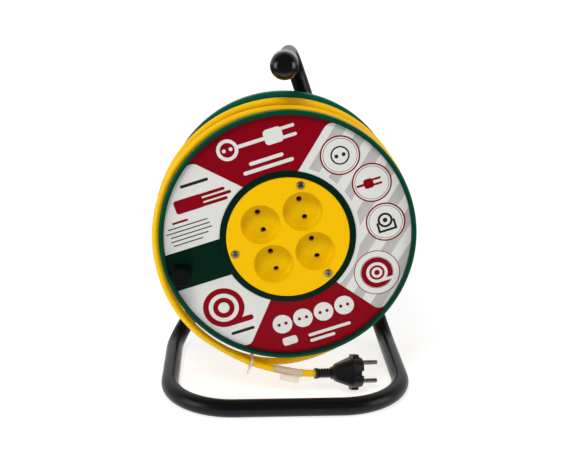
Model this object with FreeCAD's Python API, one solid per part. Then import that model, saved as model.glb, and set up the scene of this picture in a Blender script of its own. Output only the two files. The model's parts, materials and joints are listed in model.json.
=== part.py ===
import FreeCAD, Part
import math
import os

# Extension cord reel: a green drum with four socket outlets turns on the end of one
# bent steel tube, which also makes the base and the carrying handle.
# Millimetres, +Z up. The origin is on the floor in the middle of the base.
# The drum's axis runs along Y at axle_height, and its front faces -Y.

V = FreeCAD.Vector

# Stand: one bent steel tube
base_width = 259.0
tube_d = 18.0
tube_wall = 1.5
front_corner_r = 67.0
rear_bend_r = 40.0
axle_bend_r = 35.0
axle_straight = 1.7
handle_bend_r = 34.0
axle_height = 175.0
handle_rise = 165.0
handle_dip = 4.0
handle_lean = 9.0
handle_swing = 14.0
brace_d = 14.0
brace_wall = 1.5
brace_drop = 36.0
cap_d = 27.0
cap_length = 32.0
cap_nose = 8.0
cap_dome = 10.8
cap_lip = 2.7

# Drum: everything below is placed by its depth behind the face of the socket panel
face_setback = 29.0
flange_d = 250.0
drum_width = 124.0
rim_proud = 3.0
rim_depth = 10.0
rim_wall = 4.5
plate_recess = 5.5
plate_t = 3.5
barrel_d = 154.8
barrel_wall = 2.5
barrel_seat = 1.0
drum_turn = 17.7
rib_t = 3.0
rib_height = 3.0
rear_rib_count = 8
hub_web_rise = 10.0
hub_web_fall = 58.0
rim_edge_r = 1.8
rim_lip_r = 1.2

# Bearing of the drum on the axle
axle_reach = 42.0
bush_wall = 2.0
bush_length = 14.0
hub_wall = 3.5
hub_boss_d = 48.0
hub_boss_height = 2.5
end_play = 0.3
thrust_t = 2.0
thrust_bore = 18.4
thrust_d = 34.0
collar_d = 26.0
collar_t = 5.0
axle_washer_d = 30.0
axle_washer_t = 2.0
axle_bolt_d = 8.0
axle_bolt_head = 13.0
axle_bolt_head_t = 5.3
axle_bolt_length = 18.0
axle_bolt_hole = 8.6
axle_insert_length = 22.0

# Socket panel
panel_d = 120.0
panel_t = 3.0
panel_gap = 0.8
ledge_w = 4.3
ring_w = 5.5
ring_proud = 1.2
ring_edge_r = 0.5
panel_edge_r = 1.2
socket_columns = 42.4
socket_rows = 42.1
well_d = 38.8
well_draft = 0.7
well_depth = 14.5
well_wall = 1.5
well_floor_t = 2.0
well_foot_r = 2.0
pin_hole_d = 5.4
pin_pitch = 19.0
insert_d = 28.0
insert_flange_d = 35.0
insert_flange_t = 2.5
panel_screw_r = 53.8
panel_screw_angle = 77.5
panel_screw_d = 3.2
panel_screw_head = 7.0
panel_screw_head_t = 2.2
panel_screw_length = 14.0
panel_screw_sink = 0.8
panel_screw_bore = 3.8
panel_screw_dish = 8.2
panel_post_d = 8.4
panel_post_length = 15.0

# Contacts behind the sockets
strip_t = 1.2
strip_w = 6.0
strip_gap = 2.1
contact_gap = 0.4
arm_overhang = 1.0
spine_offset = 33.5
tab_height = 36.2
tulip_d = 5.0
tulip_wall = 0.9
tulip_length = 11.6
carrier_t = 3.0
carrier_w = 96.0
carrier_top = 35.5
carrier_d = 110.0
carrier_post = 43.0
carrier_post_d = 9.0
carrier_screw_d = 3.0
carrier_screw_head = 6.0
carrier_screw_length = 12.0
carrier_screw_head_t = 2.0

# Fixings of the drum
boss_r = 70.3
boss_d = 8.4
drum_screw_d = 3.8
drum_screw_head = 7.2
drum_screw_head_t = 1.8
drum_screw_length = 20.0
screw_pad_w = 2.0
screw_pad_t = 1.0

# Label
label_t = 0.25
label_gap = 0.2
label_strip_w = 38.4
label_strip_rise = 0.8

# Crank knob
knob_inset = 12.0
knob_angle = 198.0
knob_w = 15.9
knob_h = 14.4
knob_draft = 0.5
knob_length = 25.0
knob_corner = 2.6
knob_edge = 0.8
knob_gap = 0.4
spindle_d = 6.0
spindle_head_d = 11.0
spindle_head_t = 1.2
spindle_boss_w = 2.5
knob_screw_d = 3.0
knob_screw_head = 7.2
knob_screw_head_t = 2.2
knob_screw_length = 10.0
knob_cap_t = 2.0
knob_cap_gap = 1.5
knob_screw_room = 0.5
dish_d = 28.0
dish_depth = 1.2
dish_offset = 9.5

# Cable: flexible two-core, wound on the drum
cord_d = 7.2
winding_d = 236.0
layer_turns = 12
lead_depth = 21.7
lead_start = 58.0
lead_end = 86.0
wire_d = 2.8
wire_gap = 0.8
wire_run = 7.5
wire_drop = 11.5
wire_spread = 9.0
ramp_run = 26.0
ramp_rise = 2.0
clamp_w = 8.0
clamp_t = 3.0
clamp_screw_x = 9.5
clamp_post_d = 6.0
clamp_screw_d = 2.8
clamp_screw_head = 5.6
clamp_screw_length = 12.0
clamp_screw_head_t = 2.0
saddle_w = 10.4

# Plug: round two-pin pattern, pins 4.8 by 19 mm
# A section of its body is its height, its thickness and its corner radius
pin_d = 4.8
pin_length = 19.0
pin_root_d = 4.0
pin_root = 8.0
pin_tip_r = 1.2
sleeve_length = 20.2
sleeve_d = 9.9
sleeve_collar_d = 11.2
sleeve_collar = 2.5
sleeve_ribs = 5
sleeve_groove = 0.8
sleeve_socket = 6.0
plug_root = (13.4, 13.0, 6.0)
plug_bevel = 2.2
plug_neck = (18.0, 14.0, 4.5)
plug_shoulder = (30.0, 23.0, 6.0)
plug_disc = (31.7, 26.0, 10.5)
plug_nose = (30.5, 25.0, 10.0)
plug_taper = 19.0
plug_disc_t = 7.1
plug_nose_t = 3.3
plug_edge_r = 0.8
lug_height = 36.6
lug_w = 10.0
lug_edge_r = 1.5
notch_w = 5.1
notch_depth = 6.5
notch_ridge = 1.1
panel_in = (5.0, 1.0)
panel_margin = 3.0
panel_border = 2.0
panel_sunk = 0.7
plug_yaw = 14.0
plug_droop = 5.2
plug_roll = -15.0

# Shares of a pan head's size: its rounded edge and its cross recess
head_round = 0.45
cross_length = 0.6
cross_width = 0.14
cross_depth = 0.5

# Clearances, how far fused pieces sink into each other and how far a cutter passes a face
seat_gap = 0.3
running_gap = 0.05
screw_gap = 0.05
head_room = 0.8
sink = 0.5
beyond = 1.0
touch = 0.01

# Worked out from the values above
tube_r = tube_d / 2
cord_r = cord_d / 2
side_x = base_width / 2 - tube_r
floor_drop = axle_height - tube_r

flange_r = flange_d / 2
rim_inner = flange_r - rim_wall
front_rim = -rim_proud
back_rim = front_rim + drum_width
front_seat = front_rim + plate_recess
front_back = front_seat + plate_t
rear_seat = back_rim - plate_recess
rear_front = rear_seat - plate_t
barrel_r = barrel_d / 2

panel_r = panel_d / 2
pocket_r = panel_r + panel_gap
ledge_r = pocket_r - ledge_w
insert_back = well_depth + well_floor_t + insert_flange_t
strip_front = insert_back + strip_gap
carrier_front = strip_front + strip_t

bush_inner = tube_r + running_gap
bush_outer = bush_inner + bush_wall
hub_inner = bush_outer + running_gap
hub_outer = hub_inner + hub_wall
hub_front = axle_reach + end_play
hub_back = rear_seat + hub_boss_height
knob_r = rim_inner - knob_inset

rear_depth = hub_back + end_play + thrust_t + collar_t + axle_straight + axle_bend_r
base_depth = tube_d + face_setback + rear_depth
bar_y = tube_r - base_depth / 2
face_y = bar_y + face_setback

layer_r = winding_d / 2 - cord_r
layer_start = front_back + cord_r + seat_gap
layer_end = rear_front - cord_r - seat_gap
layer_pitch = (layer_end - layer_start) / layer_turns
core_r = layer_r - cord_r - seat_gap

# The loose end of the cable, by angle round the drum, radius and depth: it leaves the
# winding at the bottom by the rear flange, goes round nearly twice and sags on the left.
# Angles are seen from the front, counted anticlockwise from the right.
loose_turns = [
    (-88, 127.0, 100.0), (-60, 126.6, 92.0), (-30, 126.6, 82.0), (0, 126.6, 72.0),
    (30, 126.7, 63.0), (60, 127.8, 54.0), (90, 130.2, 46.0), (120, 132.3, 40.0),
    (150, 133.0, 34.0), (180, 131.8, 29.5), (210, 132.0, 26.0), (238, 138.2, 23.0),
    (263, 143.6, 21.4), (287, 136.4, 21.0), (312, 129.4, 20.0), (338, 126.8, 18.0),
    (366, 126.6, 16.0), (396, 126.6, 14.6), (425, 126.8, 13.6), (452, 127.6, 13.2),
    (480, 129.8, 13.3), (509, 131.6, 13.2), (537, 131.9, 13.3), (563, 134.2, 13.2),
    (586, 137.4, 13.3), (610, 138.6, 13.2),
]
# Its last bend before the plug, and the plug's start: across, depth and height from the axis
last_bend = (-16.0, 12.4, -142.0)
plug_start = (29.0, 13.2, -149.3)
plug_lead = 12.0
tie_at = 255.0
tag_share = 0.4
tag_width = 20.0
tag_drop = 7.5
tag_t = 0.4
tie_w = 2.6
tie_t = 1.1
tie_gap = 0.25
tie_lock = (4.2, 3.6, 3.8)
tie_stub = (1.1, 9.0, 2.2)


def at(angle, radius, depth=0.0):
    """A point round the drum, before the drum is lifted to its axle."""
    turn = math.radians(angle)
    return V(radius * math.cos(turn), depth, radius * math.sin(turn))


def clocked(across, up, depth=0.0):
    """A point in the face of the drum, which is stored a little turned."""
    turn = math.radians(drum_turn)
    cos_turn, sin_turn = math.cos(turn), math.sin(turn)
    return V(across * cos_turn - up * sin_turn, depth, across * sin_turn + up * cos_turn)


def turned(corners):
    """A solid turned about the drum's axis from corners of (radius, depth)."""
    points = [V(radius, depth, 0) for radius, depth in corners]
    outline = Part.makePolygon(points + points[:1])
    return Part.Face(outline).revolve(V(0, 0, 0), V(0, 1, 0), 360)


def rod(centre, radius, front, back):
    """A cylinder along Y whose axis passes through centre."""
    return Part.makeCylinder(radius, back - front, V(centre.x, front, centre.z), V(0, 1, 0))


def ring(centre, inner, outer, front, back):
    return rod(centre, outer, front, back).cut(rod(centre, inner, front - beyond, back + beyond))


def block(centre, width, height, front, back):
    """A box in the drum's clocked face, centred at (across, up)."""
    box = Part.makeBox(width, back - front, height,
                       V(centre[0] - width / 2, front, centre[1] - height / 2))
    box.rotate(V(0, 0, 0), V(0, 1, 0), -drum_turn)
    return box


def edges_at(shape, radius, depth):
    """The round edges of a turned shape that have this radius and depth."""
    found = []
    for edge in shape.Edges:
        curve = edge.Curve
        if isinstance(curve, Part.Circle) and abs(curve.Radius - radius) < touch:
            if abs(curve.Center.y - depth) < touch:
                found.append(edge)
    return found


def fused(pieces):
    return pieces[0].multiFuse(pieces[1:]).removeSplitter()


def rounded_path(points, radii):
    """Straight runs joined by tangent arcs, one radius for each inner point."""
    edges = []
    start = points[0]
    for before, corner, after, radius in zip(points, points[1:], points[2:], radii):
        into = (corner - before).normalize()
        out = (after - corner).normalize()
        half_turn = into.getAngle(out) / 2
        reach = radius * math.tan(half_turn)
        first = corner - into * reach
        last = corner + out * reach
        towards_centre = (out - into).normalize()
        middle = corner + towards_centre * (radius / math.cos(half_turn) - radius)
        edges.append(Part.LineSegment(start, first).toShape())
        edges.append(Part.Arc(first, middle, last).toShape())
        start = last
    edges.append(Part.LineSegment(start, points[-1]).toShape())
    return Part.Wire(edges)


def cord_radii(points):
    """Each bend of a cord is as wide as its two runs allow."""
    radii = []
    for before, corner, after in zip(points, points[1:], points[2:]):
        half_turn = (corner - before).getAngle(after - corner) / 2
        shorter = min((corner - before).Length, (after - corner).Length)
        radii.append(0.45 * shorter / math.tan(half_turn))
    return radii


def swept(path, radius):
    """A round bar along a path."""
    first = path.OrderedEdges[0]
    start = first.valueAt(first.FirstParameter)
    heading = first.tangentAt(first.FirstParameter)
    section = Part.Wire(Part.makeCircle(radius, start, heading))
    return path.makePipeShell([section], True, False)


def hollow(path, outer, inner):
    return swept(path, outer).cut(swept(path, inner))


def report_tube(name, solid, path, radius):
    expected = math.pi * radius ** 2 * path.Length
    print(name, "length", round(path.Length, 1), "volume over section times length",
          round(solid.Volume / expected, 4))


def biarc(start, heading, end, end_heading):
    """Two tangent arcs from one point and heading to another."""
    span = end - start
    both = heading + end_heading
    unlike = 2 * (1 - heading.dot(end_heading))
    across = span.dot(both)
    reach = (math.sqrt(across ** 2 + unlike * span.dot(span)) - across) / unlike
    first_knee = start + heading * reach
    last_knee = end - end_heading * reach
    join = (first_knee + last_knee) * 0.5
    return [tangent_arc(start, first_knee, join), tangent_arc(join, last_knee, end)]


def tangent_arc(start, knee, end):
    """The arc between two points whose tangents meet at the knee."""
    chord_middle = (start + end) * 0.5
    half_chord = (end - start).Length / 2
    lean = math.acos(half_chord / (knee - start).Length)
    rise = half_chord * math.tan(lean / 2)
    middle = chord_middle + (knee - chord_middle).normalize() * rise
    return Part.Arc(start, middle, end).toShape()


def least_gap(path, diameter, turn_length):
    """Least gap between a tube's neighbouring turns, on points 2 mm apart."""
    spacing = 2.0
    points = path.discretize(Number=int(path.Length / spacing))
    nearest = int(0.8 * turn_length / spacing)
    farthest = int(1.2 * turn_length / spacing)
    least = min(point.distanceToPoint(other)
                for index, point in enumerate(points)
                for other in points[index + nearest:index + farthest])
    return least - diameter


def screw(centre, seat, head_d, head_t, shank_d, length):
    """A pan head cross screw that points along +Y, its head's underside at seat."""
    face = seat - head_t
    head = rod(centre, head_d / 2, face, seat)
    head = head.makeFillet(head_t * head_round, edges_at(head, head_d / 2, face))
    long_side, short_side = head_d * cross_length, head_d * cross_width
    for width, height in ((long_side, short_side), (short_side, long_side)):
        corner = V(centre.x - width / 2, face - beyond, centre.z - height / 2)
        head = head.cut(Part.makeBox(width, beyond + head_t * cross_depth, height, corner))
    shank = rod(centre, shank_d / 2, seat - touch, seat + length)
    return head.fuse(shank).removeSplitter()


def back_screw(centre, seat, head_d, head_t, shank_d, length):
    """The same screw put in from behind, so that it points along -Y."""
    piece = screw(centre, 0, head_d, head_t, shank_d, length)
    piece.rotate(centre, V(0, 0, 1), 180)
    piece.translate(V(0, seat, 0))
    return piece


# The stand


def handle_line():
    """The handle's axis, from its front end to the rear bend."""
    front = V(handle_lean - handle_swing, 0, handle_rise)
    rear = V(handle_lean, rear_depth, handle_rise - handle_dip)
    return front, rear


def frame_path():
    handle_front, handle_rear = handle_line()
    heading = (handle_rear - handle_front).normalize()
    corners = [
        handle_front + heading * cap_nose,
        handle_rear,
        V(side_x, rear_depth, -floor_drop),
        V(side_x, bar_y - face_y, -floor_drop),
        V(-side_x, bar_y - face_y, -floor_drop),
        V(-side_x, rear_depth, -floor_drop),
        V(0, rear_depth, 0),
        V(0, axle_reach, 0),
    ]
    radii = [handle_bend_r, rear_bend_r, front_corner_r, front_corner_r, rear_bend_r, axle_bend_r]
    return rounded_path(corners, radii)


def frame_tube():
    return hollow(frame_path(), tube_r, tube_r - tube_wall)


def frame_brace():
    """A straight tube welded between the two tubes that rise behind the drum."""
    _, handle_rear = handle_line()
    right = V(side_x, rear_depth, -floor_drop)
    share = (handle_rear.z + brace_drop) / (handle_rear.z - right.z)
    right_end = handle_rear + (right - handle_rear) * share
    left = V(-side_x, rear_depth, -floor_drop)
    left_end = left * (brace_drop / floor_drop)
    left_end.y = rear_depth
    length = right_end.x - left_end.x
    bar = Part.makeCylinder(brace_d / 2, length, left_end, V(1, 0, 0))
    bore = Part.makeCylinder(brace_d / 2 - brace_wall, length, left_end, V(1, 0, 0))
    solid = bar.cut(bore).cut(swept(frame_path(), tube_r))
    return max(solid.Solids, key=lambda piece: piece.Volume)


def handle_cap():
    """A domed plastic cap pushed over the handle's front end."""
    cap = rod(V(0, 0, 0), cap_d / 2, 0, cap_length)
    cap = cap.makeFillet(cap_dome, edges_at(cap, cap_d / 2, 0))
    cap = cap.makeFillet(cap_lip, edges_at(cap, cap_d / 2, cap_length))
    cap = cap.cut(rod(V(0, 0, 0), tube_r + running_gap, cap_nose, cap_length + beyond))
    front, rear = handle_line()
    cap.Placement = FreeCAD.Placement(front, FreeCAD.Rotation(V(0, 1, 0), rear - front))
    return cap


def axle_collar():
    front = hub_back + end_play + thrust_t
    return ring(V(), tube_r, collar_d / 2, front, front + collar_t)


def thrust_washer():
    front = hub_back + end_play
    return ring(V(), thrust_bore / 2, thrust_d / 2, front, front + thrust_t)


def axle_washer():
    front = axle_reach - axle_washer_t
    return ring(V(), axle_bolt_hole / 2, axle_washer_d / 2, front, axle_reach)


def axle_insert():
    outer = tube_r - tube_wall - running_gap
    inner = axle_bolt_d / 2 + screw_gap
    return ring(V(), inner, outer, axle_reach, axle_reach + axle_insert_length)


def axle_bolt():
    seat = axle_reach - axle_washer_t
    corner_r = axle_bolt_head / 2 / math.cos(math.radians(30))
    points = [at(30 + 60 * k, corner_r, seat - axle_bolt_head_t) for k in range(7)]
    head = Part.Face(Part.makePolygon(points)).extrude(V(0, axle_bolt_head_t, 0))
    shank = rod(V(), axle_bolt_d / 2, seat - touch, axle_reach + axle_bolt_length)
    return head.fuse(shank).removeSplitter()


# The drum


def boss_centres():
    return [clocked(boss_r * math.cos(math.radians(a)), boss_r * math.sin(math.radians(a)))
            for a in (45, 135, 225, 315)]


def panel_screw_centres():
    return [at(panel_screw_angle + 120 * k, panel_screw_r) for k in range(3)]


def clamp_height():
    """The lead's clamp sits midway between the sheath's end and the barrel's wall."""
    return (lead_start + barrel_r - barrel_wall) / 2


def clamp_screw_centres():
    return [clocked(side * clamp_screw_x, clamp_height()) for side in (-1, 1)]


def knob_axis():
    return at(knob_angle, knob_r)


def front_flange():
    ring_outer = pocket_r + ring_w
    ring_front = front_seat - ring_proud
    seat_outer = barrel_r + running_gap
    seat_inner = barrel_r - barrel_wall - running_gap
    groove = front_back - barrel_seat
    front_rim_back = front_rim + rim_depth
    body = turned([
        (ledge_r, panel_t), (pocket_r, panel_t), (pocket_r, ring_front),
        (ring_outer, ring_front), (ring_outer, front_seat), (rim_inner, front_seat),
        (rim_inner, front_rim), (flange_r, front_rim), (flange_r, front_rim_back),
        (rim_inner, front_rim_back), (rim_inner, front_back), (seat_outer, front_back),
        (seat_outer, groove), (seat_inner, groove), (seat_inner, front_back),
        (ledge_r, front_back),
    ])
    body = body.makeFillet(rim_edge_r, edges_at(body, flange_r, front_rim))
    body = body.makeFillet(rim_lip_r, edges_at(body, rim_inner, front_rim)
                           + edges_at(body, flange_r, front_rim_back))
    body = body.makeFillet(ring_edge_r, edges_at(body, ring_outer, ring_front)
                           + edges_at(body, pocket_r, ring_front))
    posts = [rod(c, panel_post_d / 2, panel_t, panel_t + panel_post_length)
             for c in panel_screw_centres()]
    clamp_top = lead_depth + cord_r - seat_gap
    posts += [rod(c, clamp_post_d / 2, front_back - sink, clamp_top)
              for c in clamp_screw_centres()]
    posts.append(block((0, clamp_height()), saddle_w, clamp_w, front_back - sink,
                       lead_depth - cord_r))
    body = fused([body] + posts)
    knob = knob_axis()
    spindle_hole = spindle_d / 2 + screw_gap
    spindle_seat = front_back - spindle_head_t
    dish = knob + clocked(0, dish_offset)
    holes = [rod(dish, dish_d / 2, front_seat - beyond, front_seat + dish_depth),
             rod(knob, spindle_hole, front_seat - beyond, front_back + beyond),
             rod(knob, spindle_head_d / 2 + screw_gap, spindle_seat, front_back + beyond)]
    holes += [rod(c, panel_screw_d / 2 + screw_gap, 0, panel_t + panel_screw_length + beyond)
              for c in panel_screw_centres()]
    holes += [rod(c, clamp_screw_d / 2 + screw_gap, clamp_top - clamp_screw_length - beyond,
                  clamp_top + beyond) for c in clamp_screw_centres()]
    for centre in boss_centres():
        holes.append(rod(centre, drum_screw_d / 2 + screw_gap, front_seat, front_back + beyond))
        holes.append(rod(centre, drum_screw_head / 2 + screw_gap, front_seat - beyond,
                         front_seat + drum_screw_head_t))
    for hole in holes:
        body = body.cut(hole)
    spindle_boss = ring(knob, spindle_hole, spindle_d / 2 + spindle_boss_w, front_seat, spindle_seat)
    return fused([body, spindle_boss])


def rib_plate(corners, angle):
    """A flat rib standing on a radius, from corners of (radius, depth)."""
    points = [V(radius, depth, -rib_t / 2) for radius, depth in corners]
    rib = Part.Face(Part.makePolygon(points + points[:1])).extrude(V(0, 0, rib_t))
    rib.rotate(V(0, 0, 0), V(0, 1, 0), -angle)
    return rib


def back_flange():
    seat_outer = barrel_r + running_gap
    seat_inner = barrel_r - barrel_wall - running_gap
    groove = rear_front + barrel_seat
    rim_front = back_rim - rim_depth
    boss = hub_boss_d / 2
    body = turned([
        (hub_inner, hub_front), (hub_outer, hub_front), (hub_outer, rear_front),
        (seat_inner, rear_front), (seat_inner, groove), (seat_outer, groove),
        (seat_outer, rear_front), (rim_inner, rear_front), (rim_inner, rim_front),
        (flange_r, rim_front), (flange_r, back_rim), (rim_inner, back_rim),
        (rim_inner, rear_seat), (boss, rear_seat), (boss, hub_back), (hub_inner, hub_back),
    ])
    body = body.makeFillet(rim_edge_r, edges_at(body, flange_r, back_rim))
    body = body.makeFillet(rim_lip_r, edges_at(body, rim_inner, back_rim)
                           + edges_at(body, flange_r, rim_front)
                           + edges_at(body, boss, hub_back))
    web_inner, web_outer = hub_outer - sink, boss_r - boss_d
    webs = [rib_plate([(web_inner, rear_front - hub_web_fall), (web_inner, rear_front + sink),
                       (web_outer, rear_front + sink), (web_outer, rear_front - hub_web_rise)],
                      drum_turn + 90 * k) for k in range(4)]
    rib_inner, rib_outer = boss - sink, rim_inner + sink
    rib_back = rear_seat + rib_height
    webs += [rib_plate([(rib_inner, rear_seat - sink), (rib_outer, rear_seat - sink),
                        (rib_outer, rib_back), (rib_inner, rib_back)],
                       drum_turn + 360 * k / rear_rib_count) for k in range(rear_rib_count)]
    pad_back = rear_seat + screw_pad_t
    webs += [rod(c, drum_screw_head / 2 + screw_pad_w, rear_seat - sink, pad_back)
             for c in boss_centres()]
    body = fused([body] + webs)
    for centre in boss_centres():
        body = body.cut(rod(centre, drum_screw_d / 2 + screw_gap, rear_front - beyond,
                            pad_back + beyond))
        body = body.cut(rod(centre, drum_screw_head / 2 + head_room, pad_back, back_rim))
    return body


def barrel():
    inner = barrel_r - barrel_wall
    front = front_back - barrel_seat
    back = rear_front + barrel_seat
    body = ring(V(), inner, barrel_r, front, back)
    bosses = []
    for centre in boss_centres():
        bosses.append(rod(centre, boss_d / 2, front_back, rear_front))
        angle = math.degrees(math.atan2(centre.z, centre.x))
        bosses.append(rib_plate([(boss_r, front_back), (boss_r, rear_front),
                                 (inner + sink, rear_front), (inner + sink, front_back)], angle))
    body = fused([body] + bosses)
    for centre in boss_centres():
        body = body.cut(rod(centre, drum_screw_d / 2 + screw_gap, front, back))
    return body.cut(lead_way(barrel_r - boss_d, barrel_r + beyond))


def lead_way(low, high):
    """The round way through which the inner end of the cable passes the barrel's wall."""
    return Part.makeCylinder(cord_r + seat_gap, high - low, clocked(0, low, lead_depth), clocked(0, 1))


def bush(front):
    return ring(V(), bush_inner, bush_outer, front, front + bush_length)


def drum_screws():
    """Four screws from the front, under the label, and four from the back."""
    screws = []
    for centre in boss_centres():
        sizes = (drum_screw_head, drum_screw_head_t, drum_screw_d, drum_screw_length)
        screws.append(screw(centre, front_seat + drum_screw_head_t, *sizes))
        screws.append(back_screw(centre, rear_seat + screw_pad_t, *sizes))
    return Part.makeCompound(screws)


def label():
    """The round printed sticker, open at the green strip where the knob stands."""
    inner = pocket_r + ring_w + label_gap
    sheet = ring(V(), inner, rim_inner - label_gap, front_seat - label_t, front_seat)
    knob = knob_axis()
    strip = Part.makeBox(flange_r, label_t + 2 * beyond, label_strip_w,
                         V(-flange_r, front_seat - label_t - beyond, -label_strip_w / 2))
    strip.rotate(V(0, 0, 0), V(0, 1, 0), -drum_turn)
    shift = knob - clocked(-knob_r, -label_strip_rise)
    strip.translate(V(shift.x, 0, shift.z))
    return sheet.cut(strip)


# The socket panel


def socket_centres():
    across, up = socket_columns / 2, socket_rows / 2
    return [(-across, up), (across, up), (across, -up), (-across, -up)]


def post_centres():
    """The panel's posts, which carry the plate with the contacts."""
    return [clocked(across, 0) for across in (-carrier_post, 0, carrier_post)]


def well_shape():
    """The hollow of one socket, a drafted cup with a rounded foot."""
    mouth = well_d / 2
    foot = mouth - well_draft
    brim = mouth + beyond * well_draft / well_depth
    cup = turned([(0, -beyond), (brim, -beyond), (foot, well_depth), (0, well_depth)])
    return cup.makeFillet(well_foot_r, edges_at(cup, foot, well_depth))


def socket_panel():
    body = rod(V(), panel_r, 0, panel_t)
    body = body.makeFillet(panel_edge_r, edges_at(body, panel_r, 0))
    wall_r = well_d / 2 + well_wall
    well_back = well_depth + well_floor_t
    parts = [body]
    parts += [rod(clocked(*place), wall_r, panel_t - sink, well_back) for place in socket_centres()]
    parts += [rod(c, carrier_post_d / 2, panel_t - sink, carrier_front) for c in post_centres()]
    body = fused(parts)
    for place in socket_centres():
        centre = clocked(*place)
        cup = well_shape()
        cup.translate(centre)
        body = body.cut(cup)
        body = body.cut(rod(centre, insert_d / 2 + running_gap, well_depth - beyond,
                            well_back + beyond))
    for centre in post_centres():
        body = body.cut(rod(centre, carrier_screw_d / 2 + screw_gap,
                            carrier_front - carrier_screw_length - beyond, carrier_front + beyond))
    for centre in panel_screw_centres():
        body = body.cut(rod(centre, panel_screw_bore / 2, -beyond, panel_t + beyond))
        body = body.cut(rod(centre, panel_screw_dish / 2, -beyond, panel_screw_sink))
    return body


def socket_insert(across, up):
    """The floor of one socket, with its two pin holes."""
    centre = clocked(across, up)
    shoulder = well_depth + well_floor_t
    body = fused([rod(centre, insert_d / 2, well_depth, shoulder + sink),
                  rod(centre, insert_flange_d / 2, shoulder, insert_back)])
    for side in (-1, 1):
        hole = clocked(across, up + side * pin_pitch / 2)
        body = body.cut(rod(hole, pin_hole_d / 2, well_depth - beyond, insert_back + beyond))
    return body


def contact_strip(side):
    """A brass comb with four spring sleeves. Side -1 feeds the upper holes, 1 the lower."""
    half = socket_columns / 2
    rows = [sign * socket_rows / 2 - side * pin_pitch / 2 for sign in (1, -1)]
    back = strip_front + strip_t
    low = min(rows) - strip_w / 2
    spine = block((side * spine_offset, (low + tab_height) / 2), strip_w, tab_height - low,
                  strip_front, back)
    parts = [spine]
    reach = spine_offset + strip_w / 2
    far = half + strip_w / 2 + arm_overhang
    sleeve_r = tulip_d / 2
    mouth = insert_back + contact_gap
    for row in rows:
        parts.append(block((side * (reach - far) / 2, row), reach + far, strip_w, strip_front, back))
        for across in (-half, half):
            parts.append(rod(clocked(across, row), sleeve_r + tulip_wall, mouth, mouth + tulip_length))
    body = fused(parts)
    for row in rows:
        for across in (-half, half):
            body = body.cut(rod(clocked(across, row), sleeve_r, mouth - beyond,
                                mouth + tulip_length + beyond))
    return body


def contact_carrier():
    """The insulating plate that holds both combs against the panel's posts."""
    low = -(socket_rows / 2 + pin_pitch / 2 + strip_w)
    back = carrier_front + carrier_t
    body = block((0, (carrier_top + low) / 2), carrier_w, carrier_top - low, carrier_front, back)
    body = body.common(rod(V(), carrier_d / 2, carrier_front, back))
    holes = [(clocked(across, up + side * pin_pitch / 2), tulip_d / 2 + tulip_wall + seat_gap)
             for across, up in socket_centres() for side in (-1, 1)]
    holes += [(centre, carrier_screw_d / 2 + screw_gap) for centre in post_centres()]
    for centre, radius in holes:
        body = body.cut(rod(centre, radius, carrier_front - beyond, back + beyond))
    return body


def carrier_screws():
    return Part.makeCompound([
        back_screw(c, carrier_front + carrier_t, carrier_screw_head, carrier_screw_head_t,
                   carrier_screw_d, carrier_screw_length) for c in post_centres()])


def panel_screws():
    return Part.makeCompound([
        screw(c, panel_screw_sink, panel_screw_head, panel_screw_head_t, panel_screw_d,
              panel_screw_length) for c in panel_screw_centres()])


# The lead inside the drum


def inner_lead():
    """The cable's inner end, through the barrel's wall to its clamp."""
    return Part.makeCylinder(cord_r, lead_end - lead_start, clocked(0, lead_start, lead_depth),
                             clocked(0, 1))


def inner_wire(side):
    """One insulated core from the sheath's end to the tab of its comb."""
    core = side * (wire_d + wire_gap) / 2
    tab = side * spine_offset
    route = [(core, lead_start), (core, lead_start - wire_run),
             (side * wire_spread, lead_start - wire_drop), (tab, lead_start - wire_drop),
             (tab, tab_height)]
    points = [clocked(across, up, lead_depth) for across, up in route]
    return swept(rounded_path(points, cord_radii(points)), wire_d / 2)


def lead_clamp():
    front = lead_depth + cord_r
    back = front + clamp_t
    body = block((0, clamp_height()), 2 * clamp_screw_x + clamp_post_d, clamp_w, front, back)
    for centre in clamp_screw_centres():
        body = body.cut(rod(centre, clamp_screw_d / 2 + screw_gap, front - beyond, back + beyond))
    return body


def clamp_screws():
    return Part.makeCompound([
        back_screw(c, lead_depth + cord_r + clamp_t, clamp_screw_head, clamp_screw_head_t,
                   clamp_screw_d, clamp_screw_length) for c in clamp_screw_centres()])


# The crank knob


def rounded_rectangle(width, height, corner, depth, centre):
    """A closed outline across Y, with round corners."""
    edges = []
    half_w, half_h = width / 2 - corner, height / 2 - corner
    ends = []
    for index, (x, z) in enumerate(((1, 1), (-1, 1), (-1, -1), (1, -1))):
        pivot = V(centre.x + x * half_w, depth, centre.z + z * half_h)
        ends.append([pivot + at(90 * index + turn, corner) for turn in (0, 45, 90)])
    for index, (first, middle, last) in enumerate(ends):
        edges.append(Part.Arc(first, middle, last).toShape())
        following = ends[(index + 1) % 4][0]
        edges.append(Part.LineSegment(last, following).toShape())
    return Part.Wire(edges)


def crank_knob():
    centre = knob_axis()
    back = front_seat - knob_gap
    front = back - knob_length
    rear_outline = rounded_rectangle(knob_w, knob_h, knob_corner, back, centre)
    front_outline = rounded_rectangle(knob_w - knob_draft, knob_h - knob_draft, knob_corner,
                                      front, centre)
    body = Part.makeLoft([front_outline, rear_outline], True, True)
    nose = [edge for edge in body.Edges
            if all(abs(vertex.Point.y - front) < touch for vertex in edge.Vertexes)]
    body = body.makeFillet(knob_edge, nose)
    body = body.cut(rod(centre, spindle_d / 2 + running_gap, front - beyond, back + beyond))
    return body.cut(rod(centre, knob_screw_head / 2 + knob_screw_room, front - beyond,
                        spindle_front() + end_play))


def spindle_front():
    """Depth of the spindle's front end, inside the knob."""
    knob_front = front_seat - knob_gap - knob_length
    return knob_front + knob_cap_t + knob_cap_gap + knob_screw_head_t


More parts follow.
